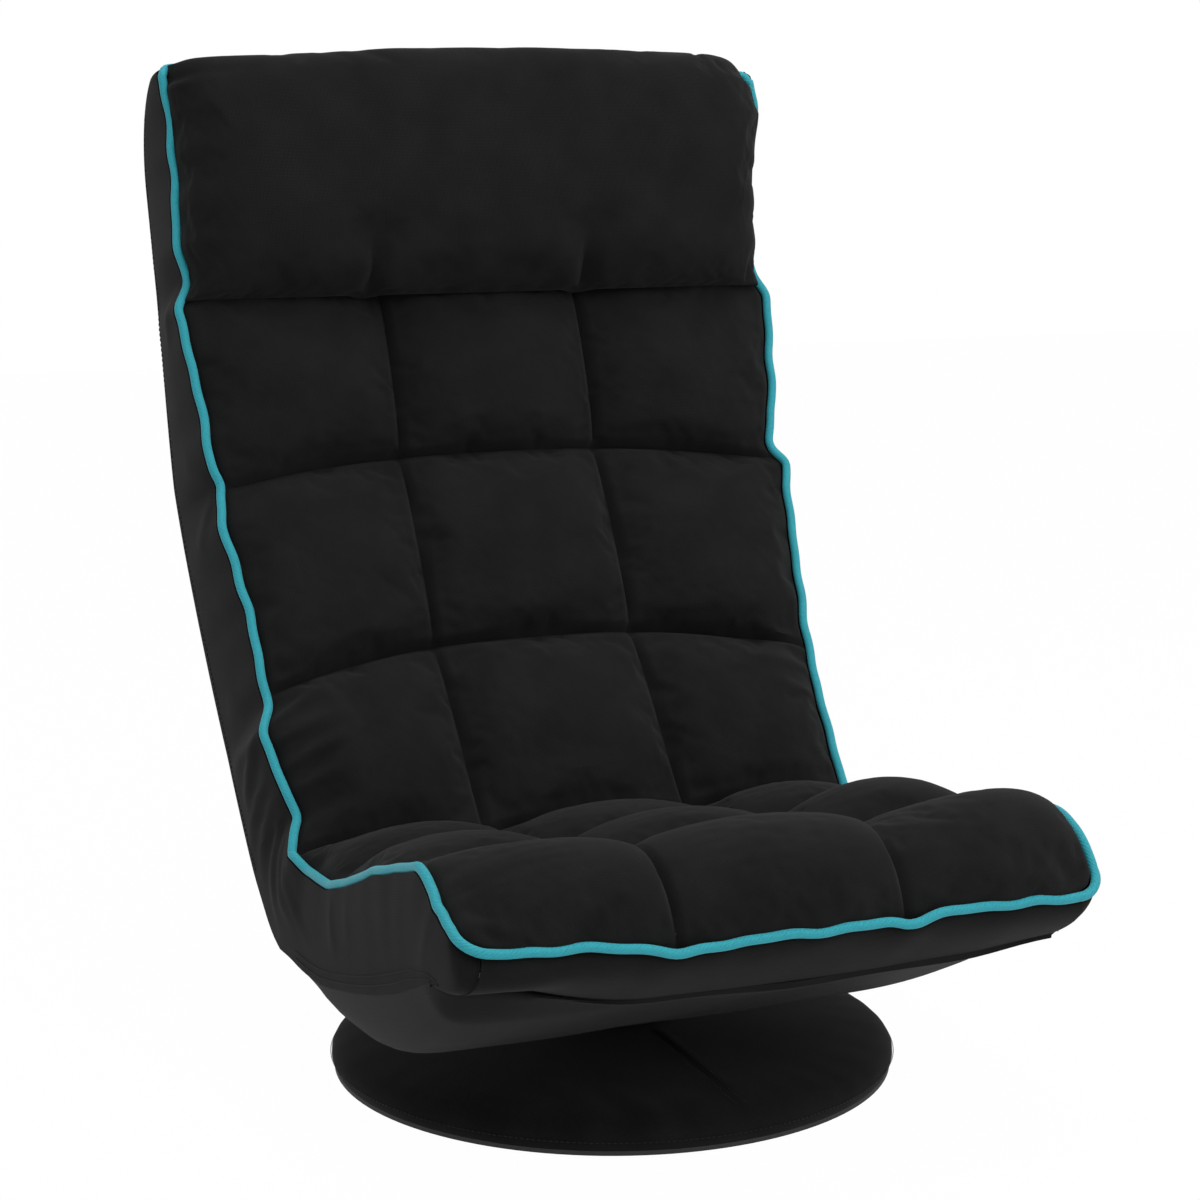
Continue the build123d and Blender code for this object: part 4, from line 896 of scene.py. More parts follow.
@dataclass
class HeadRoll:
    """Full-width stuffed roll across the top of the back."""

    wardrobe: Wardrobe
    cells_across: int = 96
    cells_round: int = 46
    end_gap: float = 6.0
    outline: Knots = (
        (467, -24), (461, -8), (457.5, 7), (461, 24), (482, 38.5), (525, 45.5), (580, 45),
        (632, 37.5), (659, 24), (659, 7), (644, -3),
    )
    top_knots: Knots = (
        (-1, 645), (-0.945, 650), (-0.66, 656.5), (-0.3, 662.5), (0.2, 664), (0.6, 663), (0.83, 659.5),
        (0.915, 655.5), (0.945, 652.5), (1, 641),
    )
    top_place: float = 661.0
    middle: float = 556.0
    foot: float = 476.0
    nape: float = 630.0
    floor: float = -30.0
    root: float = -6.0
    pinch_at: tuple[float, float] = (-102.0, 84.0)
    pinch_deep: float = 15.0
    pinch_wide: float = 8.0
    pinch_span: tuple[float, float] = (460.0, 512.0)
    half_width: float = 250.0
    girth: float = 260.0
    end_swell: tuple[float, float] = (0.22, 0.78)
    end_power: float = 12.0

    def top_at(self, share: float) -> float:
        """Place of the top of the roll at a share of its half width."""
        knots = np.array(self.top_knots)
        return float(np.mean(np.interp(share + np.linspace(-0.03, 0.03, 7), knots[:, 0], knots[:, 1])))

    def build(self) -> None:
        """Make the roll: its section swells along the chair and is pinched over the column seams below."""
        section = curve_through(self.outline, self.cells_round + 1)
        turn = np.linspace(-0.5, 0.5, self.cells_across + 1) * math.pi * 0.93
        shares = np.sin(turn) / math.sin(0.465 * math.pi)
        place, out = section[:, 0], section[:, 1]
        low = 1.0 - smooth_step(*self.pinch_span, place)
        least, more = self.end_swell
        grid = np.empty((len(section), len(shares), 3))
        for number, share in enumerate(shares):
            inward, stand = LINE.edge_wave(place, Side.LEFT if share < 0 else Side.RIGHT)
            reach = LINE.half(place) - LINE.cover_gap - self.end_gap - inward
            swell = least + more * (1.0 - abs(share) ** self.end_power) ** 0.5
            height = self.root + (out - self.root) * swell + (1 - swell) * stand
            rise = (self.top_at(share) - self.top_place) / (self.top_place - self.middle)
            shown = place + np.maximum(place - self.middle, 0.0) * rise
            pinch = sum(bump_at(share * self.half_width, x, self.pinch_wide) for x in self.pinch_at)
            grid[:, number] = LINE.points(shown, height - self.pinch_deep * low * pinch, share * reach)
        pinned = np.zeros(grid.shape[:2], bool)
        pinned[(place < 480.0) & (out < 12.0)] = True
        pinned[-1] = True
        pinned[:, [0, -1]] = True
        grid = refine(billow(grid, pinned))
        book = PieceBook("head_cushion")
        run = np.linspace(0.0, self.girth, grid.shape[0])
        top = book.corners(grid, weave(grid[:, :, 0], run[:, None]))
        foot = book.corners(LINE.points(np.array(self.foot), self.floor, grid[0, :, 0]))
        nape = book.corners(LINE.points(np.array(self.nape), self.floor, grid[-1, :, 0]))
        book.quads(top)
        for pair in ((foot, top[0]), (top[-1], nape), (nape, foot)):
            book.quads(np.stack(pair))
        for end in (0, -1):
            book.face(np.concatenate([top[:, end], [nape[end], foot[end]]]))
        piece = book.piece()
        hand_over(piece, "back", "head_roll", self.wardrobe.cover)


@dataclass(frozen=True)
class Fold:
    """A soft ridge of loose cloth across a panel, from one place and share of its depth to another."""

    start: tuple[float, float]
    end: tuple[float, float]
    height: float
    width: float

    def lift(self, place: ndarray, share: ndarray, panel_depth: float) -> ndarray:
        """Height of the ridge at places and depth shares of a panel.

        Args:
            place: places along the chair.
            share: shares of the panel's depth.
            panel_depth: depth of the panel in millimetres.

        Returns:
            How far the cloth stands out.
        """
        run_a = self.end[0] - self.start[0]
        run_b = (self.end[1] - self.start[1]) * panel_depth
        off_a = place - self.start[0]
        off_b = (share - self.start[1]) * panel_depth
        size = run_a**2 + run_b**2
        along = np.clip((off_a * run_a + off_b * run_b) / size, 0.0, 1.0)
        away = np.hypot(off_a - along * run_a, off_b - along * run_b)
        spread = self.width * (0.6 + 0.7 * along)
        return self.height * np.exp(-((away / spread) ** 2)) * (0.25 + 0.75 * np.sin(np.pi * along) ** 0.7)


TOP_FOLDS = {
    Side.LEFT: (
        Fold((104, 1), (134, 0.68), 4.4, 7), Fold((88, 1), (106, 0.58), 4.8, 7),
        Fold((66, 1), (84, 0.62), 4.2, 6), Fold((46, 1), (58, 0.7), 3.2, 6),
        Fold((470, 0.98), (440, 0.8), 2, 6),
    ),
    Side.RIGHT: (
        Fold((126, 1), (152, 0.7), 4.2, 7), Fold((108, 1), (122, 0.64), 4, 7),
        Fold((84, 1), (92, 0.72), 2.6, 6),
    ),
}
SIDE_FOLDS = (
    Fold((100, 0.03), (70, 0.72), 3.6, 7),
    Fold((97, 0.03), (108, 0.85), 2.6, 7),
    Fold((112, 0.05), (150, 0.7), 1.8, 9),
    Fold((70, 0.03), (48, 0.9), 3.2, 6.5),
    Fold((52, 0.03), (26, 0.85), 3.4, 6),
    Fold((42, 0.04), (4, 0.7), 3.4, 5.5),
    Fold((30, 0.04), (-14, 0.6), 2.2, 5),
    Fold((14, 0.05), (-34, 0.62), 1.3, 6),
    Fold((-92, 0.05), (-96, 0.6), 0.9, 6),
    Fold((-128, 0.1), (-132, 0.55), 0.4, 7),
    Fold((300, 0.04), (268, 0.5), 1.6, 8),
    Fold((316, 0.04), (338, 0.5), 1.2, 8),
    Fold((470, 0.04), (432, 0.5), 1.5, 9),
)


@dataclass
class SidePanels:
    """Plain side panels of seat, waist and back, which wrinkle near the fold."""

    wardrobe: Wardrobe
    cells_deep: int = 18
    edge: float = -3.2
    bulge: float = 2.5
    cloth: float = 3.0
    shoulder: float = 556.0
    shoulder_power: float = 1.85
    fan_start: float = 200.0
    seat_depth: float = 91.0
    seat_lift: float = 6.0
    nose_drop: float = 12.0
    left_edge: float = -250.0
    left_reach: float = 125.0
    right_pull: float = 26.0
    waist_slack: float = 4.0
    right_jog: float = 9.0
    full_depth: float = 70.0
    corner_reach: float = 45.0
    depth_knots: Knots = (
        (33, 104), (74, 104), (200, 102), (320, 100), (420, 88), (500, 79), (556, 75),
    )
    left_knots: Knots = (
        (-311, 74), (-280, 74.2), (-247, 75.6), (-216, 78.4), (-185, 80.5), (-143, 83), (-100, 86.5),
        (-54, 91), (-18, 91),
    )
    front_knots: Knots = (
        (-250, 74.2), (-213, 78.5), (-176, 90.5), (-138, 101.5), (-108, 107.5), (-50, 109), (23, 111),
        (87, 110), (162, 107.5), (215, 102), (250, 100),
    )
    splay_knots: Knots = (
        (-260, 0), (-120, 4), (-18, 6), (33, 5), (120, 3), (330, 3), (430, -2), (480, -3.5),
        (560, -4.5),
    )

    def depth(self, place: ndarray, x: ndarray | float = 250.0) -> ndarray:
        """Depth of the rear seam below the piping line, which is pulled up towards the front left corner.

        Args:
            place: places along the chair.
            x: x of the seam.

        Returns:
            The depths.
        """
        place = np.asarray(place, float)
        x = np.asarray(x, float)
        seat = self.seat_depth - self.seat_lift * smooth_step(18.0, 90.0, -place)
        seat = seat + self.nose_drop * smooth_step(250.0, 300.0, -place)
        near = np.exp(np.minimum(-(x - self.left_edge) / self.left_reach, 0.0))
        seat = seat + near * (through_knots(place, self.left_knots) - seat)
        front = through_knots(x, self.front_knots, (-14.0, 0.0, 14.0))
        seat = seat + smooth_step(240.0, 300.0, -place) * (front - seat)
        back = through_knots(place, self.depth_knots, tuple(np.linspace(-40.0, 40.0, 9)))
        rise = np.clip((place - self.shoulder) / (LINE.back_top - self.shoulder), 0.0, 1.0)
        back = back * np.maximum(1.0 - rise**self.shoulder_power, 0.0) ** (1.0 / self.shoulder_power)
        back = np.maximum(back, -self.edge)
        share = smooth_step(LINE.seat_start, LINE.back_start, place)
        return (1 - share) * seat + share * back + self.waist_slack * np.sin(np.pi * share) ** 2

    def rear_half(self, place: ndarray, side: Side = Side.LEFT) -> ndarray:
        """Half the width of the cover at its rear seam, which is pulled in at the front right corner."""
        pull = self.right_pull if side is Side.RIGHT else 0.0
        pulled = pull * smooth_step(228.0, 300.0, -np.asarray(place, float))
        splay = through_knots(place, self.splay_knots)
        return LINE.half(place) - LINE.cover_gap + splay - LINE.top_rounding(place) - pulled

    def rear_place(self, place: ndarray) -> ndarray:
        """Place of the rear seam that faces a place on the piping: they fan out round the nose."""
        seat = -np.asarray(place, float)
        start = self.fan_start
        fan = start + (seat - start) * (-BAND_PLACE - start) / (-LINE.front_seam - start)
        return np.where(seat > start, -fan, place)

    def band_rows(self, top_x: ndarray, low_x: ndarray, share: ndarray) -> ndarray:
        """Points of the band below the front piping, which bulges forward.

        Args:
            top_x: x at the piping.
            low_x: x at the lower seam.
            share: shares of the band's depth.

        Returns:
            Rows by share, columns by x.
        """
        wave = LINE.front_wave(top_x)
        top = LINE.points(LINE.front_seam - wave - 1.0, self.edge, top_x)
        mid = LINE.points(LINE.front_seam - 23.0 - 0.5 * wave, -6.5, 0.5 * (top_x + low_x))
        low_place = np.full_like(low_x, BAND_PLACE)
        low = LINE.points(low_place, -self.depth(low_place, low_x), low_x)
        t = np.asarray(share, float)[:, None, None]
        return (1 - t) ** 2 * top + 2 * t * (1 - t) * (2 * mid - 0.5 * (top + low)) + t * t * low

    def corner_x(self, side: Side) -> tuple[float, float]:
        """x of the front corner at the piping and at the lower seam."""
        inward = LINE.edge_wave(np.array([LINE.front_seam]), side)[0][0]
        top = float(LINE.half(LINE.front_seam)) - LINE.cover_gap - float(inward)
        return side.value * top, side.value * float(self.rear_half(np.array(BAND_PLACE), side))

    def grid(self, places: ndarray, side: Side) -> ndarray:
        """Outer face of a side panel.

        Args:
            places: places of its rows.
            side: side of the chair.

        Returns:
            The grid, from the piping to the rear seam.
        """
        inward, stand = LINE.edge_wave(places, side)
        rear = self.rear_place(places)
        top_x = side.value * (LINE.half(places) - LINE.cover_gap - inward)
        corner_top, corner_low = self.corner_x(side)
        shown = LINE.front_shift(places, np.full_like(places, corner_top))
        top = LINE.points(shown, self.edge + stand, top_x)
        low_x = side.value * self.rear_half(rear, side)
        low = LINE.points(rear, -self.depth(rear, low_x), low_x)
        share = np.linspace(0.0, 1.0, self.cells_deep + 1)
        grid = top[:, None] * (1 - share)[None, :, None] + low[:, None] * share[None, :, None]
        deep = np.linalg.norm(low - top, axis=1)[:, None]
        puff = (self.bulge - 0.6 * smooth_step(300.0, 560.0, places))[:, None]
        room = np.clip(deep / self.full_depth, 0.0, 1.0)
        swell = puff * room * (1.0 - (2.0 * share[None] - 1.0) ** 2)
        jog = 0.0 if side is Side.LEFT else self.right_jog
        for fold in SIDE_FOLDS:
            lift = fold.lift(places[:, None] + jog * share[None], share[None], 100.0)
            swell = swell + lift * np.sin(np.pi * share[None]) ** 0.35 * room
        grid[:, :, 0] += side.value * swell
        curve = self.band_rows(np.array([corner_top]), np.array([corner_low]), share)[:, 0]
        near = (1.0 - smooth_step(0.0, self.corner_reach, places - LINE.front_seam))[:, None, None]
        straight = curve[0][None] * (1 - share)[:, None] + curve[-1][None] * share[:, None]
        grid += near * (curve - straight)[None]
        grid[:, :, 0] -= near[..., 0] * side.value * swell
        return grid

    def build(self) -> None:
        """Make the four side panels of seat and back."""
        seat_places = np.linspace(LINE.front_seam, LINE.seat_start, 76)
        for side in Side:
            word = side.name.lower()
            for body, places in (("seat", seat_places), ("back", LINE.back_places(110))):
                grid = refine(self.grid(places, side))
                deep = np.linspace(0.0, 85.0, grid.shape[1])
                cloth = weave(deep[None, :], finer_places(places)[:, None])
                piece = cloth_panel(f"{body}_side_{word}", grid, cloth, (side.value, 0.0, 0.0), self.cloth)
                hand_over(piece, body, f"{body}_gusset_{word}", self.wardrobe.cover)


@dataclass
class Waist:
    """The loose part of the cover round the hinges, which bends as the back reclines."""

    wardrobe: Wardrobe
    sides: SidePanels
    strip: ndarray
    places: ndarray
    bend_start: tuple[float, float] = (26.0, 182.4)
    bend_angle: float = 25.0
    bend_reach: float = 46.0
    cells_rear: int = 60

    def build(self) -> None:
        """Make the sleeve: the crease in front, folded cloth at the sides and round the rear."""
        places = self.places
        left = self.sides.grid(places, Side.LEFT)
        right = self.sides.grid(places, Side.RIGHT)
        share = np.linspace(0.0, 1.0, self.cells_rear + 1)
        rear_x = (1 - share)[None] * right[:, -1:, 0] + share[None] * left[:, -1:, 0]
        middle = np.sin(np.pi * (places - places[0]) / (places[-1] - places[0]))[:, None]
        ripple = 1.4 * middle * np.sin(rear_x / 17.0 + places[:, None] / 9.0) * np.sin(np.pi * share)[None]
        rear = LINE.points(places[:, None], -self.sides.depth(places[:, None], rear_x) + ripple, rear_x)
        loop = np.concatenate([self.strip, right, rear[:, 1:-1], left[:, ::-1]], axis=1)
        girth = np.concatenate([
            self.strip[0, :, 0], 250.0 + np.linspace(0.0, 80.0, right.shape[1]),
            330.0 - rear_x[0, 1:-1] + 240.0, 820.0 + np.linspace(0.0, 80.0, left.shape[1]),
        ])
        book = PieceBook("waist_sleeve")
        numbers = book.corners(loop, weave(girth[None, :], places[:, None]))
        book.quads(np.concatenate([numbers, numbers[:, :1]], axis=1))
        book.face(numbers[0])
        book.face(numbers[-1])
        piece = book.piece()
        self.bend(piece)
        hand_over(piece, "", "waist_cover", self.wardrobe.cover)

    def bend(self, piece: Object) -> None:
        """Bake a piece's placement into its mesh, for a piece that lies between seat and back."""
        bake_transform(piece)


@dataclass
class RearCover:
    """Rear panel of the back, the belly under the seat and the band below the front piping."""

    wardrobe: Wardrobe
    sides: SidePanels
    cells_across: int = 80
    belly_low: Knots = (
        (18, 87), (28, 74), (42, 65.5), (62, 63.4), (112, 63.4), (150, 69), (190, 81),
        (244, 110), (280, 136), (300, 153),
    )
    belly_flat: float = 63.4
    rear_swell: float = 5.0
    rear_thick: float = 6.0
    belly_thick: float = 2.0
    band_thick: float = 1.6
    band_rows: int = 13

    def rear_panel(self) -> None:
        """Make the rear panel of the back."""
        places = LINE.back_places(120)
        share = np.linspace(-1.0, 1.0, self.cells_across + 1)
        x = share[None] * (self.sides.rear_half(places) - 0.4)[:, None]
        rise = np.sin(np.pi * np.clip((places - LINE.back_start) / 560.0, 0.0, 1.0))
        swell = self.rear_swell * (1.0 - share**4)[None] * rise[:, None]
        crease = 0.9 * np.sin(x / 31.0 + places[:, None] / 23.0) * bump_at(places, 60.0, 60.0)[:, None]
        grid = LINE.points(places[:, None], -self.sides.depth(places)[:, None] - swell - crease, x)
        cloth = weave(x, places[:, None])
        piece = cloth_panel("back_rear_cover", grid, cloth, (0.0, 1.0, -0.3), self.rear_thick)
        hand_over(piece, "back", "back_rear_panel", self.wardrobe.cover)

    def belly(self) -> None:
        """Make the belly: a trough that hangs from the lower seams and is flat over the swivel plate."""
        along = np.linspace(18.0, -BAND_PLACE, 90)
        low = through_knots(along, self.belly_low)
        low = np.convolve(np.pad(low, 6, mode="edge"), np.ones(13) / 13.0, mode="valid")
        low = np.maximum(low, np.where((along > 30.0) & (along < 135.0), self.belly_flat, 0.0))
        share = np.linspace(-1.0, 1.0, self.cells_across + 1)
        left, right = (self.sides.rear_half(-along, side)[:, None] - 0.5 for side in Side)
        x = np.where(share[None] < 0.0, share[None] * left, share[None] * right)
        seam = LINE.points(-along[:, None], -self.sides.depth(-along[:, None], x), x)
        ends = (1.0 - np.abs(share) ** np.where(share < 0.0, 24.0, 6.0))[None]
        ends = ends * (1.0 - smooth_step(270.0, -BAND_PLACE, along))[:, None]
        y = seam[:, :, 1]
        z = seam[:, :, 2] - np.maximum(seam[:, :, 2] - low[:, None], 0.0) * ends
        sag = 0.8 * np.sin(x / 23.0 + y / 19.0) * np.sin(np.pi * (share + 1) / 2)[None] ** 0.5
        sag *= smooth_step(65.0, 83.0, z)
        grid = np.stack([x, y, z + sag], axis=2)
        cloth = weave(x, -along[:, None])
        piece = cloth_panel("seat_belly_cover", grid, cloth, (0.0, 0.0, -1.0), self.belly_thick)
        hand_over(piece, "seat", "seat_belly", self.wardrobe.lining)

    def front_band(self) -> ndarray:
        """Make the band between the front piping and the belly.

        Returns:
            Its lower edge, from left to right.
        """
        left_top, left_low = self.sides.corner_x(Side.LEFT)
        right_top, right_low = self.sides.corner_x(Side.RIGHT)
        share = np.linspace(0.0, 1.0, self.cells_across + 1)
        deep = np.linspace(0.0, 1.0, self.band_rows)
        x = left_top + share * (right_top - left_top)
        grid = self.sides.band_rows(x, left_low + share * (right_low - left_low), deep)
        pucker = np.sin(np.pi * share) ** 0.3 * np.sin(x / 14.0)
        grid[:, :, 2] += 0.7 * pucker[None] * np.sin(np.linspace(0, math.pi, self.band_rows))[:, None]
        cloth = weave(x[None], np.linspace(0.0, 40.0, self.band_rows)[:, None])
        piece = cloth_panel("seat_front_band", grid, cloth, (0.0, -1.0, -0.3), self.band_thick)
        hand_over(piece, "seat", "seat_gusset_front", self.wardrobe.cover)
        return grid[-1]


@dataclass
class Piping:
    """Contrast piping sewn into the edges of seat and back."""

    wardrobe: Wardrobe
    waist: Waist
    radius: float = 3.5
    inset: float = 4.3
    sides: int = 12
    step: float = 3.0
    drop_knots: Knots = ((-265, 4), (-200, 0), (120, 0), (250, 6))

    def edge(self, places: ndarray, side: Side) -> ndarray:
        """Middle line of the piping along one side."""
        inward, stand = LINE.edge_wave(places, side)
        x = side.value * (LINE.half(places) - self.inset - inward)
        corner = side.value * self.corner_half(LINE.front_seam, side)
        return LINE.points(LINE.front_shift(places, np.full_like(x, corner)), stand, x)

    def corner_half(self, place: float, side: Side) -> float:
        """Half the width of the piping where it leaves the side for a corner."""
        near = place - math.copysign(LINE.corner_at(place), place)
        inward = LINE.edge_wave(np.array([near]), side)[0][0]
        return float(LINE.half(near)) - self.inset - float(inward)

    def loop(self, start: float, end: float, across: ndarray) -> ndarray:
        """Path up one side, across and down the other.

        Args:
            start: place where the side runs start.
            end: place where they turn across.
            across: points of the run across, from left to right.

        Returns:
            The whole path.
        """
        count = max(int(abs(end - start) / self.step), 8)
        runs = []
        for side in Side:
            lower = float(self.top_drop(side.value * 265.0)) if end > 0.0 else 0.0
            runs.append(self.edge(np.linspace(start, end - lower, count), side))
        path = np.concatenate([runs[0], across, runs[1][::-1]])
        gaps = np.linalg.norm(np.diff(path, axis=0), axis=1)
        path = path[np.concatenate([[True], gaps > 0.5])]
        return even_steps(path, int(gaps.sum() / self.step))

    def top_drop(self, x: ndarray) -> ndarray:
        """How much lower the piping runs behind the ends of the head roll."""
        return through_knots(x, self.drop_knots)

    def corner_run(self, place: float) -> ndarray:
        """Run across the chair at a place, with round corners at its ends."""
        wide = {side: self.corner_half(place, side) for side in Side}
        turn = np.sin(np.linspace(-0.5, 0.5, 190) * math.pi)
        x = np.where(turn < 0.0, turn * wide[Side.LEFT], turn * wide[Side.RIGHT])
        half = np.where(turn < 0.0, wide[Side.LEFT], wide[Side.RIGHT])
        corner = LINE.corner_at(place)
        near = np.clip(np.abs(x) - (half - corner), 0.0, corner)
        drop = corner - np.sqrt(corner**2 - near**2)
        along = place - math.copysign(1.0, place) * drop - (self.top_drop(x) if place > 0.0 else 0.0)
        ends = [LINE.edge_wave(np.array([place - math.copysign(corner, place)]), side)[1][0] for side in Side]
        flat = -2.5 if place > 0.0 else 1.0
        stand = flat + (np.where(turn < 0.0, ends[0], ends[1]) - flat) * drop / corner
        return LINE.points(LINE.front_shift(along, x), stand, x)

    def build(self) -> None:
        """Make the piping of back and seat, and the two short stretches at the waist."""
        top = LINE.back_top + 3.0
        front = LINE.front_seam
        back_path = self.loop(LINE.back_start, top - LINE.top_corner, self.corner_run(top))
        seat_path = self.loop(LINE.seat_start, front + LINE.corner, self.corner_run(front))
        for body, path in (("back", back_path), ("seat", seat_path)):
            piece = cord_along(f"{body}_edge_piping", path, self.radius, self.sides)
            hand_over(piece, body, f"{body}_piping", self.wardrobe.piping)
        places = np.linspace(LINE.seat_start, LINE.back_start, 24)
        for side in Side:
            name = f"waist_piping_{side.name.lower()}"
            piece = cord_along(name, self.edge(places, side), self.radius, self.sides)
            self.waist.bend(piece)
            hand_over(piece, "", "", self.wardrobe.piping)


@dataclass
class RoundBase:
    """Cloth dome over the steel ring and arms, with a radial seam, puckers at the rim and a hem."""

    wardrobe: Wardrobe
    hem_radius: float = 220.3
    hem_height: float = 10.5
    seam_foot: float = 7.5
    hole: float = 46.0
    lowest: float = 0.6
    cells_round: int = 240
    outline: Knots = (
        (46, 36.6), (60, 36.6), (76, 36.6), (110, 35.4), (150, 33), (185, 28.8), (204, 24.6),
        (213, 20.5), (218.2, 15.4), (219.6, 10), (218.4, 5), (216, 1),
    )

    def build(self) -> None:
        """Make the dome as a closed shell of cloth."""
        outer = curve_through(self.outline, 64)
        angles = np.linspace(0.0, 2 * math.pi, self.cells_round + 1)[None]
        cos, sin = np.cos(angles), np.sin(angles)
        radius, height = outer[:, :1], outer[:, 1:]
        rim = smooth_step(150.0, 214.0, radius) * smooth_step(0.0, 6.0, height)
        cross = radius * cos - self.seam_foot
        front = smooth_step(50.0, 70.0, -radius * sin)
        flats = 0.15 * rim * np.sin(angles * 37.0 + 2.0 * np.sin(angles * 5.0))
        pleats = 1.4 * rim * front * (1.0 + np.sin(cross / 6.0)) * bump_at(cross, -75.0, 45.0)
        groove = -1.1 * front * bump_at(cross, 0.0, 2.2)
        ridge = 0.5 * front * bump_at(cross, 5.0, 3.0)
        hem = -0.9 * bump_at(height, 7.5, 0.9) * smooth_step(200.0, 216.0, radius)
        sag = -1.2 * np.sin(np.pi * np.clip((radius - 70.0) / 135.0, 0.0, 1.0))
        sag = sag * (1.0 - np.cos(angles * 4.0 - math.pi)) / 2
        lift = flats + pleats + groove + ridge + sag
        wide = radius + (hem + 0.4 * flats * smooth_step(214.0, 219.0, radius))
        z = np.maximum(height + lift * smooth_step(2.0, 12.0, height), self.lowest)
        grid = np.stack(np.broadcast_arrays(wide * cos, wide * sin, z), axis=2)
        inner = np.maximum(radius - 1.6, self.hole)
        under = np.maximum(np.minimum(np.maximum(height - 1.4, 0.7), z - 0.8), self.lowest)
        lining = np.stack(np.broadcast_arrays(inner * cos, inner * sin, under), axis=2)
        run = run_along(outer)[:, None]
        cloth = np.stack([run * cos, run * sin], axis=2) + self.hole
        book = PieceBook("base_dome")
        shells = []
        for shell in (grid, lining):
            shell[:, -1] = shell[:, 0]
            shells.append(book.corners(shell, cloth))
        rims = [np.stack([shell[end] for shell in shells]) for end in (0, -1)]
        for numbers in (*shells, *rims):
            book.quads(numbers)
        hand_over(book.piece(), "base", "base_cover", self.wardrobe.cover)


class StitchTree:
    """Geometry Nodes tree that lays a row of stitches along the edges of a path."""

    pitch = 4.2 * MM
    length = 3.2 * MM
    thread = 0.9 * MM

    def __init__(self) -> None:
        """Build the tree once."""
        self.tree = bpy.data.node_groups.new("stitch_row", "GeometryNodeTree")
        face = self.tree.interface
        face.new_socket("Path", in_out="INPUT", socket_type="NodeSocketGeometry")
        kinds = {"Pitch": "Float", "Stitch Length": "Float", "Thread": "Float", "Finish": "Material"}
        self.inputs = {
            name: face.new_socket(name, in_out="INPUT", socket_type=f"NodeSocket{kind}").identifier
            for name, kind in kinds.items()
        }
        face.new_socket("Stitches", in_out="OUTPUT", socket_type="NodeSocketGeometry")
        bench = NodeBench(self.tree)
        given = bench.add("NodeGroupInput").outputs
        path = bench.add("GeometryNodeMeshToCurve", {"Mesh": given["Path"]}).outputs["Curve"]
        lengths = {"Curve": path, "Length": given["Pitch"]}
        steps = bench.add("GeometryNodeResampleCurve", lengths, mode="LENGTH")
        heading = bench.add("GeometryNodeInputTangent").outputs["Tangent"]
        aim = bench.add("FunctionNodeAlignRotationToVector", {"Vector": heading}, axis="Z")
        bead = bench.add("GeometryNodeMeshUVSphere", {"Segments": 6, "Rings": 4, "Radius": 0.5})
        size = bench.add("ShaderNodeCombineXYZ", {
            "X": given["Thread"], "Y": given["Thread"], "Z": given["Stitch Length"],
        })
        beads = bench.add("GeometryNodeInstanceOnPoints", {
            "Points": steps.outputs["Curve"], "Instance": bead.outputs["Mesh"],
            "Rotation": aim.outputs["Rotation"], "Scale": size.outputs["Vector"],
        })
        solid = bench.add("GeometryNodeRealizeInstances", {"Geometry": beads.outputs["Instances"]})
        finish = bench.add("GeometryNodeSetMaterial", {
            "Geometry": solid.outputs["Geometry"], "Material": given["Finish"],
        })
        bench.add("NodeGroupOutput", {"Stitches": finish.outputs["Geometry"]})

    def sew(self, name: str, paths: list[ndarray], material: Material) -> Object:
        """Sew stitches along paths.

        Args:
            name: name of the piece.
            paths: lines of points in millimetres.
            material: finish of the thread.

        Returns:
            A plain mesh object with all the stitches.
        """
        points, edges, count = [], [], 0
        for path in paths:
            points.extend((path * MM).tolist())
            edges.extend((count + i, count + i + 1) for i in range(len(path) - 1))
            count += len(path)
        guide = bpy.data.meshes.new(f"{name}_guide")
        guide.from_pydata(points, edges, [])
        carrier = put(f"{name}_guide", guide)
        modifier = carrier.modifiers.new("stitches", "NODES")
        modifier.node_group = self.tree
        for socket, value in zip(self.inputs.values(), (self.pitch, self.length, self.thread, material)):
            modifier[socket] = value
        bpy.context.view_layer.update()
        made = carrier.evaluated_get(bpy.context.evaluated_depsgraph_get())
        mesh = bpy.data.meshes.new_from_object(made)
        mesh.name = name
        carrier.modifiers.remove(modifier)
        bpy.data.objects.remove(carrier)
        bpy.data.meshes.remove(guide)
        mesh.polygons.foreach_set("use_smooth", [True] * len(mesh.polygons))
        return put(name, mesh)


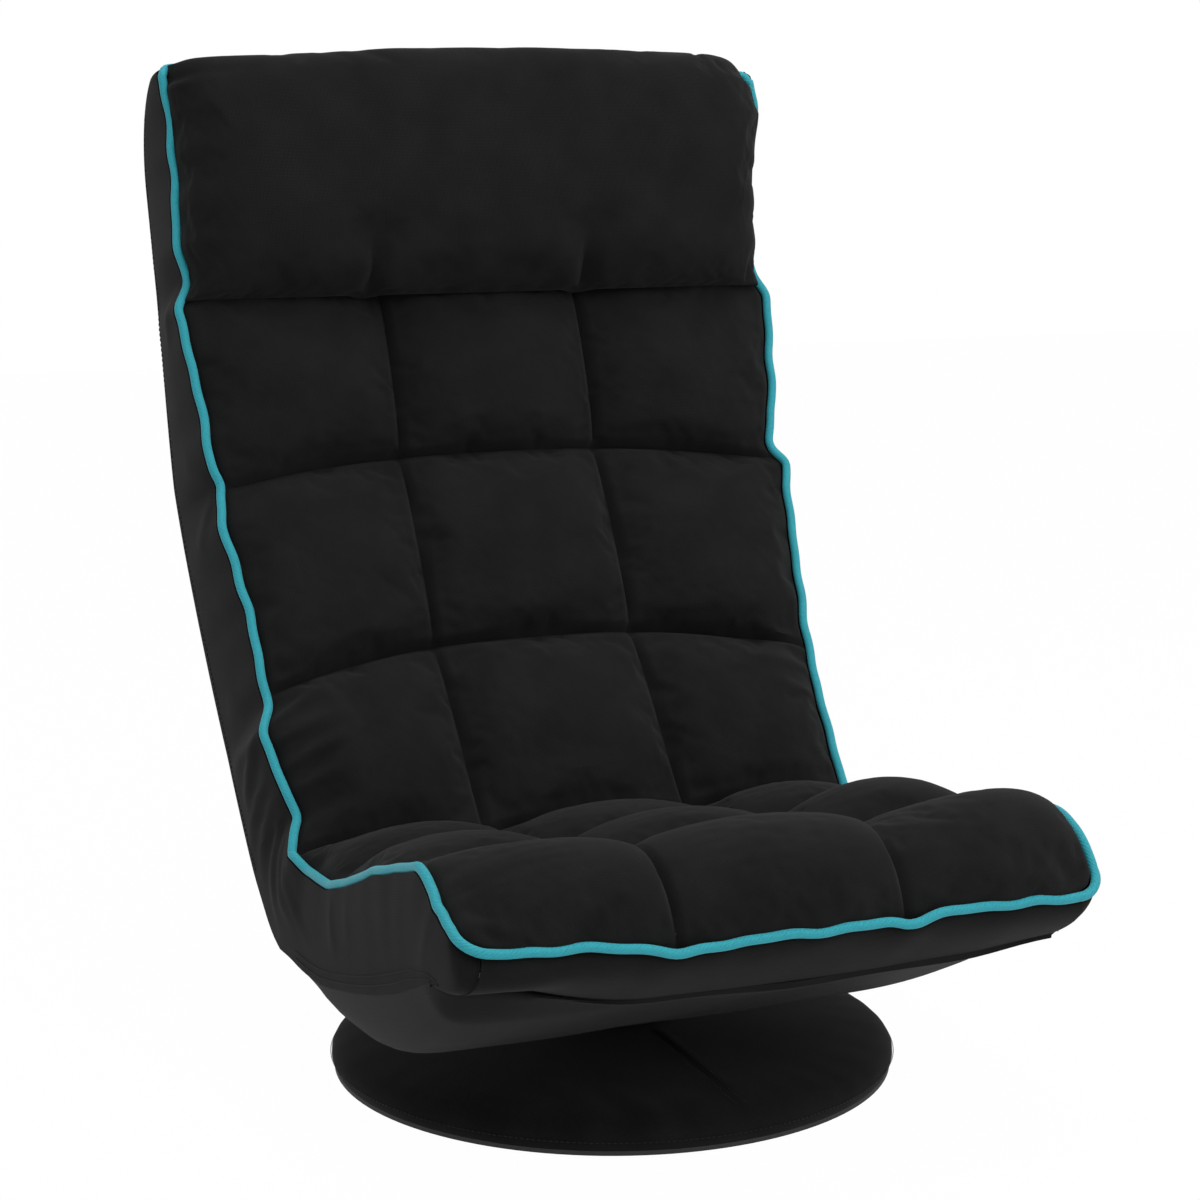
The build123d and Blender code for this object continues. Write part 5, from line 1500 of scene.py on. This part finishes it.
@dataclass
class Sewing:
    """Visible seams: double rows below the side panels and the front band, at the rear and on the base."""

    wardrobe: Wardrobe
    sides: SidePanels
    base: RoundBase
    proud: float = 0.5
    back_end: float = 610.0

    def build(self, front_edge: ndarray) -> None:
        """Sew the stitches and the tab.

        Args:
            front_edge: lower edge of the front band.
        """
        seat_places = np.linspace(LINE.front_seam, LINE.seat_start, 120)
        back_places = LINE.back_start + (self.back_end - LINE.back_start) * np.linspace(0.0, 1.0, 140)
        seat_rows, back_rows = [], []
        for side in Side:
            off = (side.value * self.proud, 0, 0)
            deep = refine(self.sides.grid(seat_places, side))
            seat_rows.extend(deep[10:, row] + off for row in (-4, -7))
            back_rows.append(refine(self.sides.grid(back_places, side))[:, -4] + off)
        for up in (5.0, 9.0):
            seat_rows.append(front_edge[6:-6] + (0.0, -(1.4 + 0.62 * up), up))
        tree = StitchTree()
        for body, rows in (("seat", seat_rows), ("back", back_rows)):
            hand_over(tree.sew(f"{body}_stitches", rows, self.wardrobe.thread), body, "")
        self.tab(front_edge[-1])
        piece = tree.sew("base_stitches", self.base_rows(), self.wardrobe.thread)
        hand_over(piece, "base", "")

    def base_rows(self) -> list[ndarray]:
        """Rows of stitches on the base: round its hem and along both sides of its front seam."""
        base = self.base
        angles = np.linspace(0.0, 2 * math.pi, 400)
        radius, height = base.hem_radius, np.full_like(angles, base.hem_height)
        rows = [np.stack([radius * np.cos(angles), radius * np.sin(angles), height], axis=1)]
        profile = curve_through(base.outline, 80)[16:60]
        y = np.linspace(-64.0, -208.0, 60)
        for offset in (-3.5, 3.5):
            x = np.full_like(y, base.seam_foot + offset)
            height = np.interp(np.hypot(x, y), profile[:, 0], profile[:, 1])
            rows.append(np.stack([x, y, height + 0.2], axis=1))
        return rows

    def tab(self, corner: ndarray) -> None:
        """Sew a small plain tab into the seam at the front right corner."""
        along, down = np.meshgrid(np.linspace(-8.0, 6.0, 8), np.linspace(-9.0, 1.0, 8))
        grid = corner + np.stack([along, 2.0 + 0.15 * along, -down], axis=2)
        piece = cloth_panel("seat_tab", grid, np.stack([along, down], axis=2), (0.0, -1.0, 0.0), 1.4)
        hand_over(piece, "seat", "", self.wardrobe.cover)


@dataclass
class InnerParts:
    """Finishes of the carried-over parts that stay as the model has them."""

    wardrobe: Wardrobe

    def build(self) -> None:
        """Dress every carried-over node."""
        wear = self.wardrobe
        groups = (
            (wear.frame_paint, (
                "base_ring", "base_arms", "base_hub", "seat_frame", "seat_rear_bar", "seat_bearers",
                "back_frame", "back_lower_bar", "swivel_plate",
            )),
            (wear.swivel_steel, (
                "swivel_lower_race", "swivel_upper_race", "swivel_bolts", "swivel_nuts", "swivel_spindle",
                "spindle_nut",
            )),
            (wear.hinge_steel, (
                "ball_cage", "bearing_balls", "hinge_plate_left", "hinge_plate_right", "hinge_cheek_left",
                "hinge_cheek_right", "pawl_springs", "hinge_rivets", "pawl_pins", "pawl_left", "pawl_right",
                "ratchet_plate_left", "ratchet_plate_right",
            )),
            (wear.foam, ("seat_foam", "back_foam")),
            (wear.webbing, ("seat_straps", "back_straps")),
            (wear.board, ("base_panel",)),
        )
        for finish, nodes in groups:
            for node in nodes:
                dress(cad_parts[node], finish)
            log.info("%s: %d carried-over parts", finish.name, len(nodes))


@dataclass
class Studio:
    """Pale floor, soft lamps and the camera of the photograph."""

    azimuth: float = -24.40
    elevation: float = 9.99
    target: Triple = (0.0, 0.0, 0.3616)
    distance: float = 2.1158
    lens: float = 82.94
    shift: tuple[float, float] = (-0.00998, 0.00141)
    aim: Triple = (0.0, 0.0, 0.4)
    floor_half: float = 6.0
    floor_glow: float = 0.985
    lamps: tuple[tuple[str, Triple, float, float], ...] = (
        ("key", (0.2, -1.9, 2.2), 1.8, 28.0),
        ("fill", (2.2, -1.6, 1.2), 1.8, 15.0),
        ("top", (0.0, 0.0, 2.6), 1.5, 26.0),
        ("side", (-2.2, -1.3, 0.4), 1.2, 5.0),
    )

    def camera(self) -> None:
        """Place the camera."""
        azimuth, elevation = math.radians(self.azimuth), math.radians(self.elevation)
        level = math.cos(elevation)
        away = Vector((math.sin(azimuth) * level, -math.cos(azimuth) * level, math.sin(elevation)))
        data = bpy.data.cameras.new("photo_camera")
        data.lens = self.lens
        data.sensor_width = 36.0
        data.shift_x, data.shift_y = self.shift
        data.dof.use_dof = False
        camera = put("photo_camera", data)
        camera.location = Vector(self.target) + away * self.distance
        camera.rotation_euler = away.to_track_quat("Z", "Y").to_euler()
        bpy.context.scene.camera = camera

    def lamp(self, name: str, place: Triple, size: float, power: float) -> None:
        """Add a soft square lamp aimed at the chair."""
        data = bpy.data.lights.new(name, "AREA")
        data.shape = "SQUARE"
        data.size = size
        data.energy = power
        lamp = put(name, data)
        lamp.location = place
        lamp.rotation_euler = (Vector(place) - Vector(self.aim)).to_track_quat("Z", "Y").to_euler()

    def show_white(self, tree: NodeTree, lit: NodeSocket, share: float, output: str) -> None:
        """Mix a white glow over a shader for rays that come straight from the camera or a mirror.

        Args:
            tree: tree of the material or world.
            lit: shader that other rays see.
            share: share of the glow.
            output: name of the output node.
        """
        bench = NodeBench(tree)
        rays = bench.add("ShaderNodeLightPath").outputs
        seen = bench.math("MAXIMUM", rays["Is Camera Ray"], rays["Is Glossy Ray"])
        seen = bench.math("MAXIMUM", seen, rays["Is Transmission Ray"])
        glow = bench.add("ShaderNodeEmission", {"Color": (1.0, 1.0, 1.0, 1.0), "Strength": 1.0})
        mix = bench.add("ShaderNodeMixShader", {
            "Fac": bench.math("MULTIPLY", seen, share), 1: lit, 2: glow.outputs[0],
        })
        bench.feed(tree.nodes[output], {"Surface": mix.outputs[0]})

    def backdrop(self) -> None:
        """Make the floor and the world."""
        far = self.floor_half
        mesh = bpy.data.meshes.new("floor")
        mesh.from_pydata([(-far, -far, 0), (far, -far, 0), (far, far, 0), (-far, far, 0)], [], [(0, 1, 2, 3)])
        floor = put("floor", mesh)
        material = bpy.data.materials.new("pale_floor")
        material.use_nodes = True
        tree = material.node_tree
        shader = tree.nodes["Principled BSDF"]
        NodeBench(tree).feed(shader, {"Base Color": (0.86, 0.86, 0.86, 1.0), "Roughness": 0.8})
        self.show_white(tree, shader.outputs[0], self.floor_glow, "Material Output")
        floor.data.materials.append(material)
        world = bpy.data.worlds.new("studio")
        world.use_nodes = True
        tree = world.node_tree
        sky = tree.nodes["Background"]
        NodeBench(tree).feed(sky, {"Color": (0.95, 0.97, 1.0, 1.0), "Strength": 0.45})
        self.show_white(tree, sky.outputs[0], 1.0, "World Output")
        bpy.context.scene.world = world

    def build(self) -> None:
        """Set up the whole studio."""
        bpy.context.scene.view_settings.view_transform = "Standard"
        self.camera()
        self.backdrop()
        for lamp in self.lamps:
            self.lamp(*lamp)


def main() -> None:
    """Build the chair's looks piece by piece, and the studio round it."""
    logging.basicConfig(level=logging.INFO, format="%(message)s")
    wardrobe = Wardrobe()
    Studio().build()
    InnerParts(wardrobe).build()
    strip, places = TuftedTop(wardrobe).build()
    HeadRoll(wardrobe).build()
    sides = SidePanels(wardrobe)
    sides.build()
    waist = Waist(wardrobe, sides, strip, places)
    waist.build()
    rear = RearCover(wardrobe, sides)
    rear.rear_panel()
    rear.belly()
    front_edge = rear.front_band()
    Piping(wardrobe, waist).build()
    base = RoundBase(wardrobe)
    base.build()
    Sewing(wardrobe, sides, base).build(front_edge)


if __name__ == "__main__":
    main()
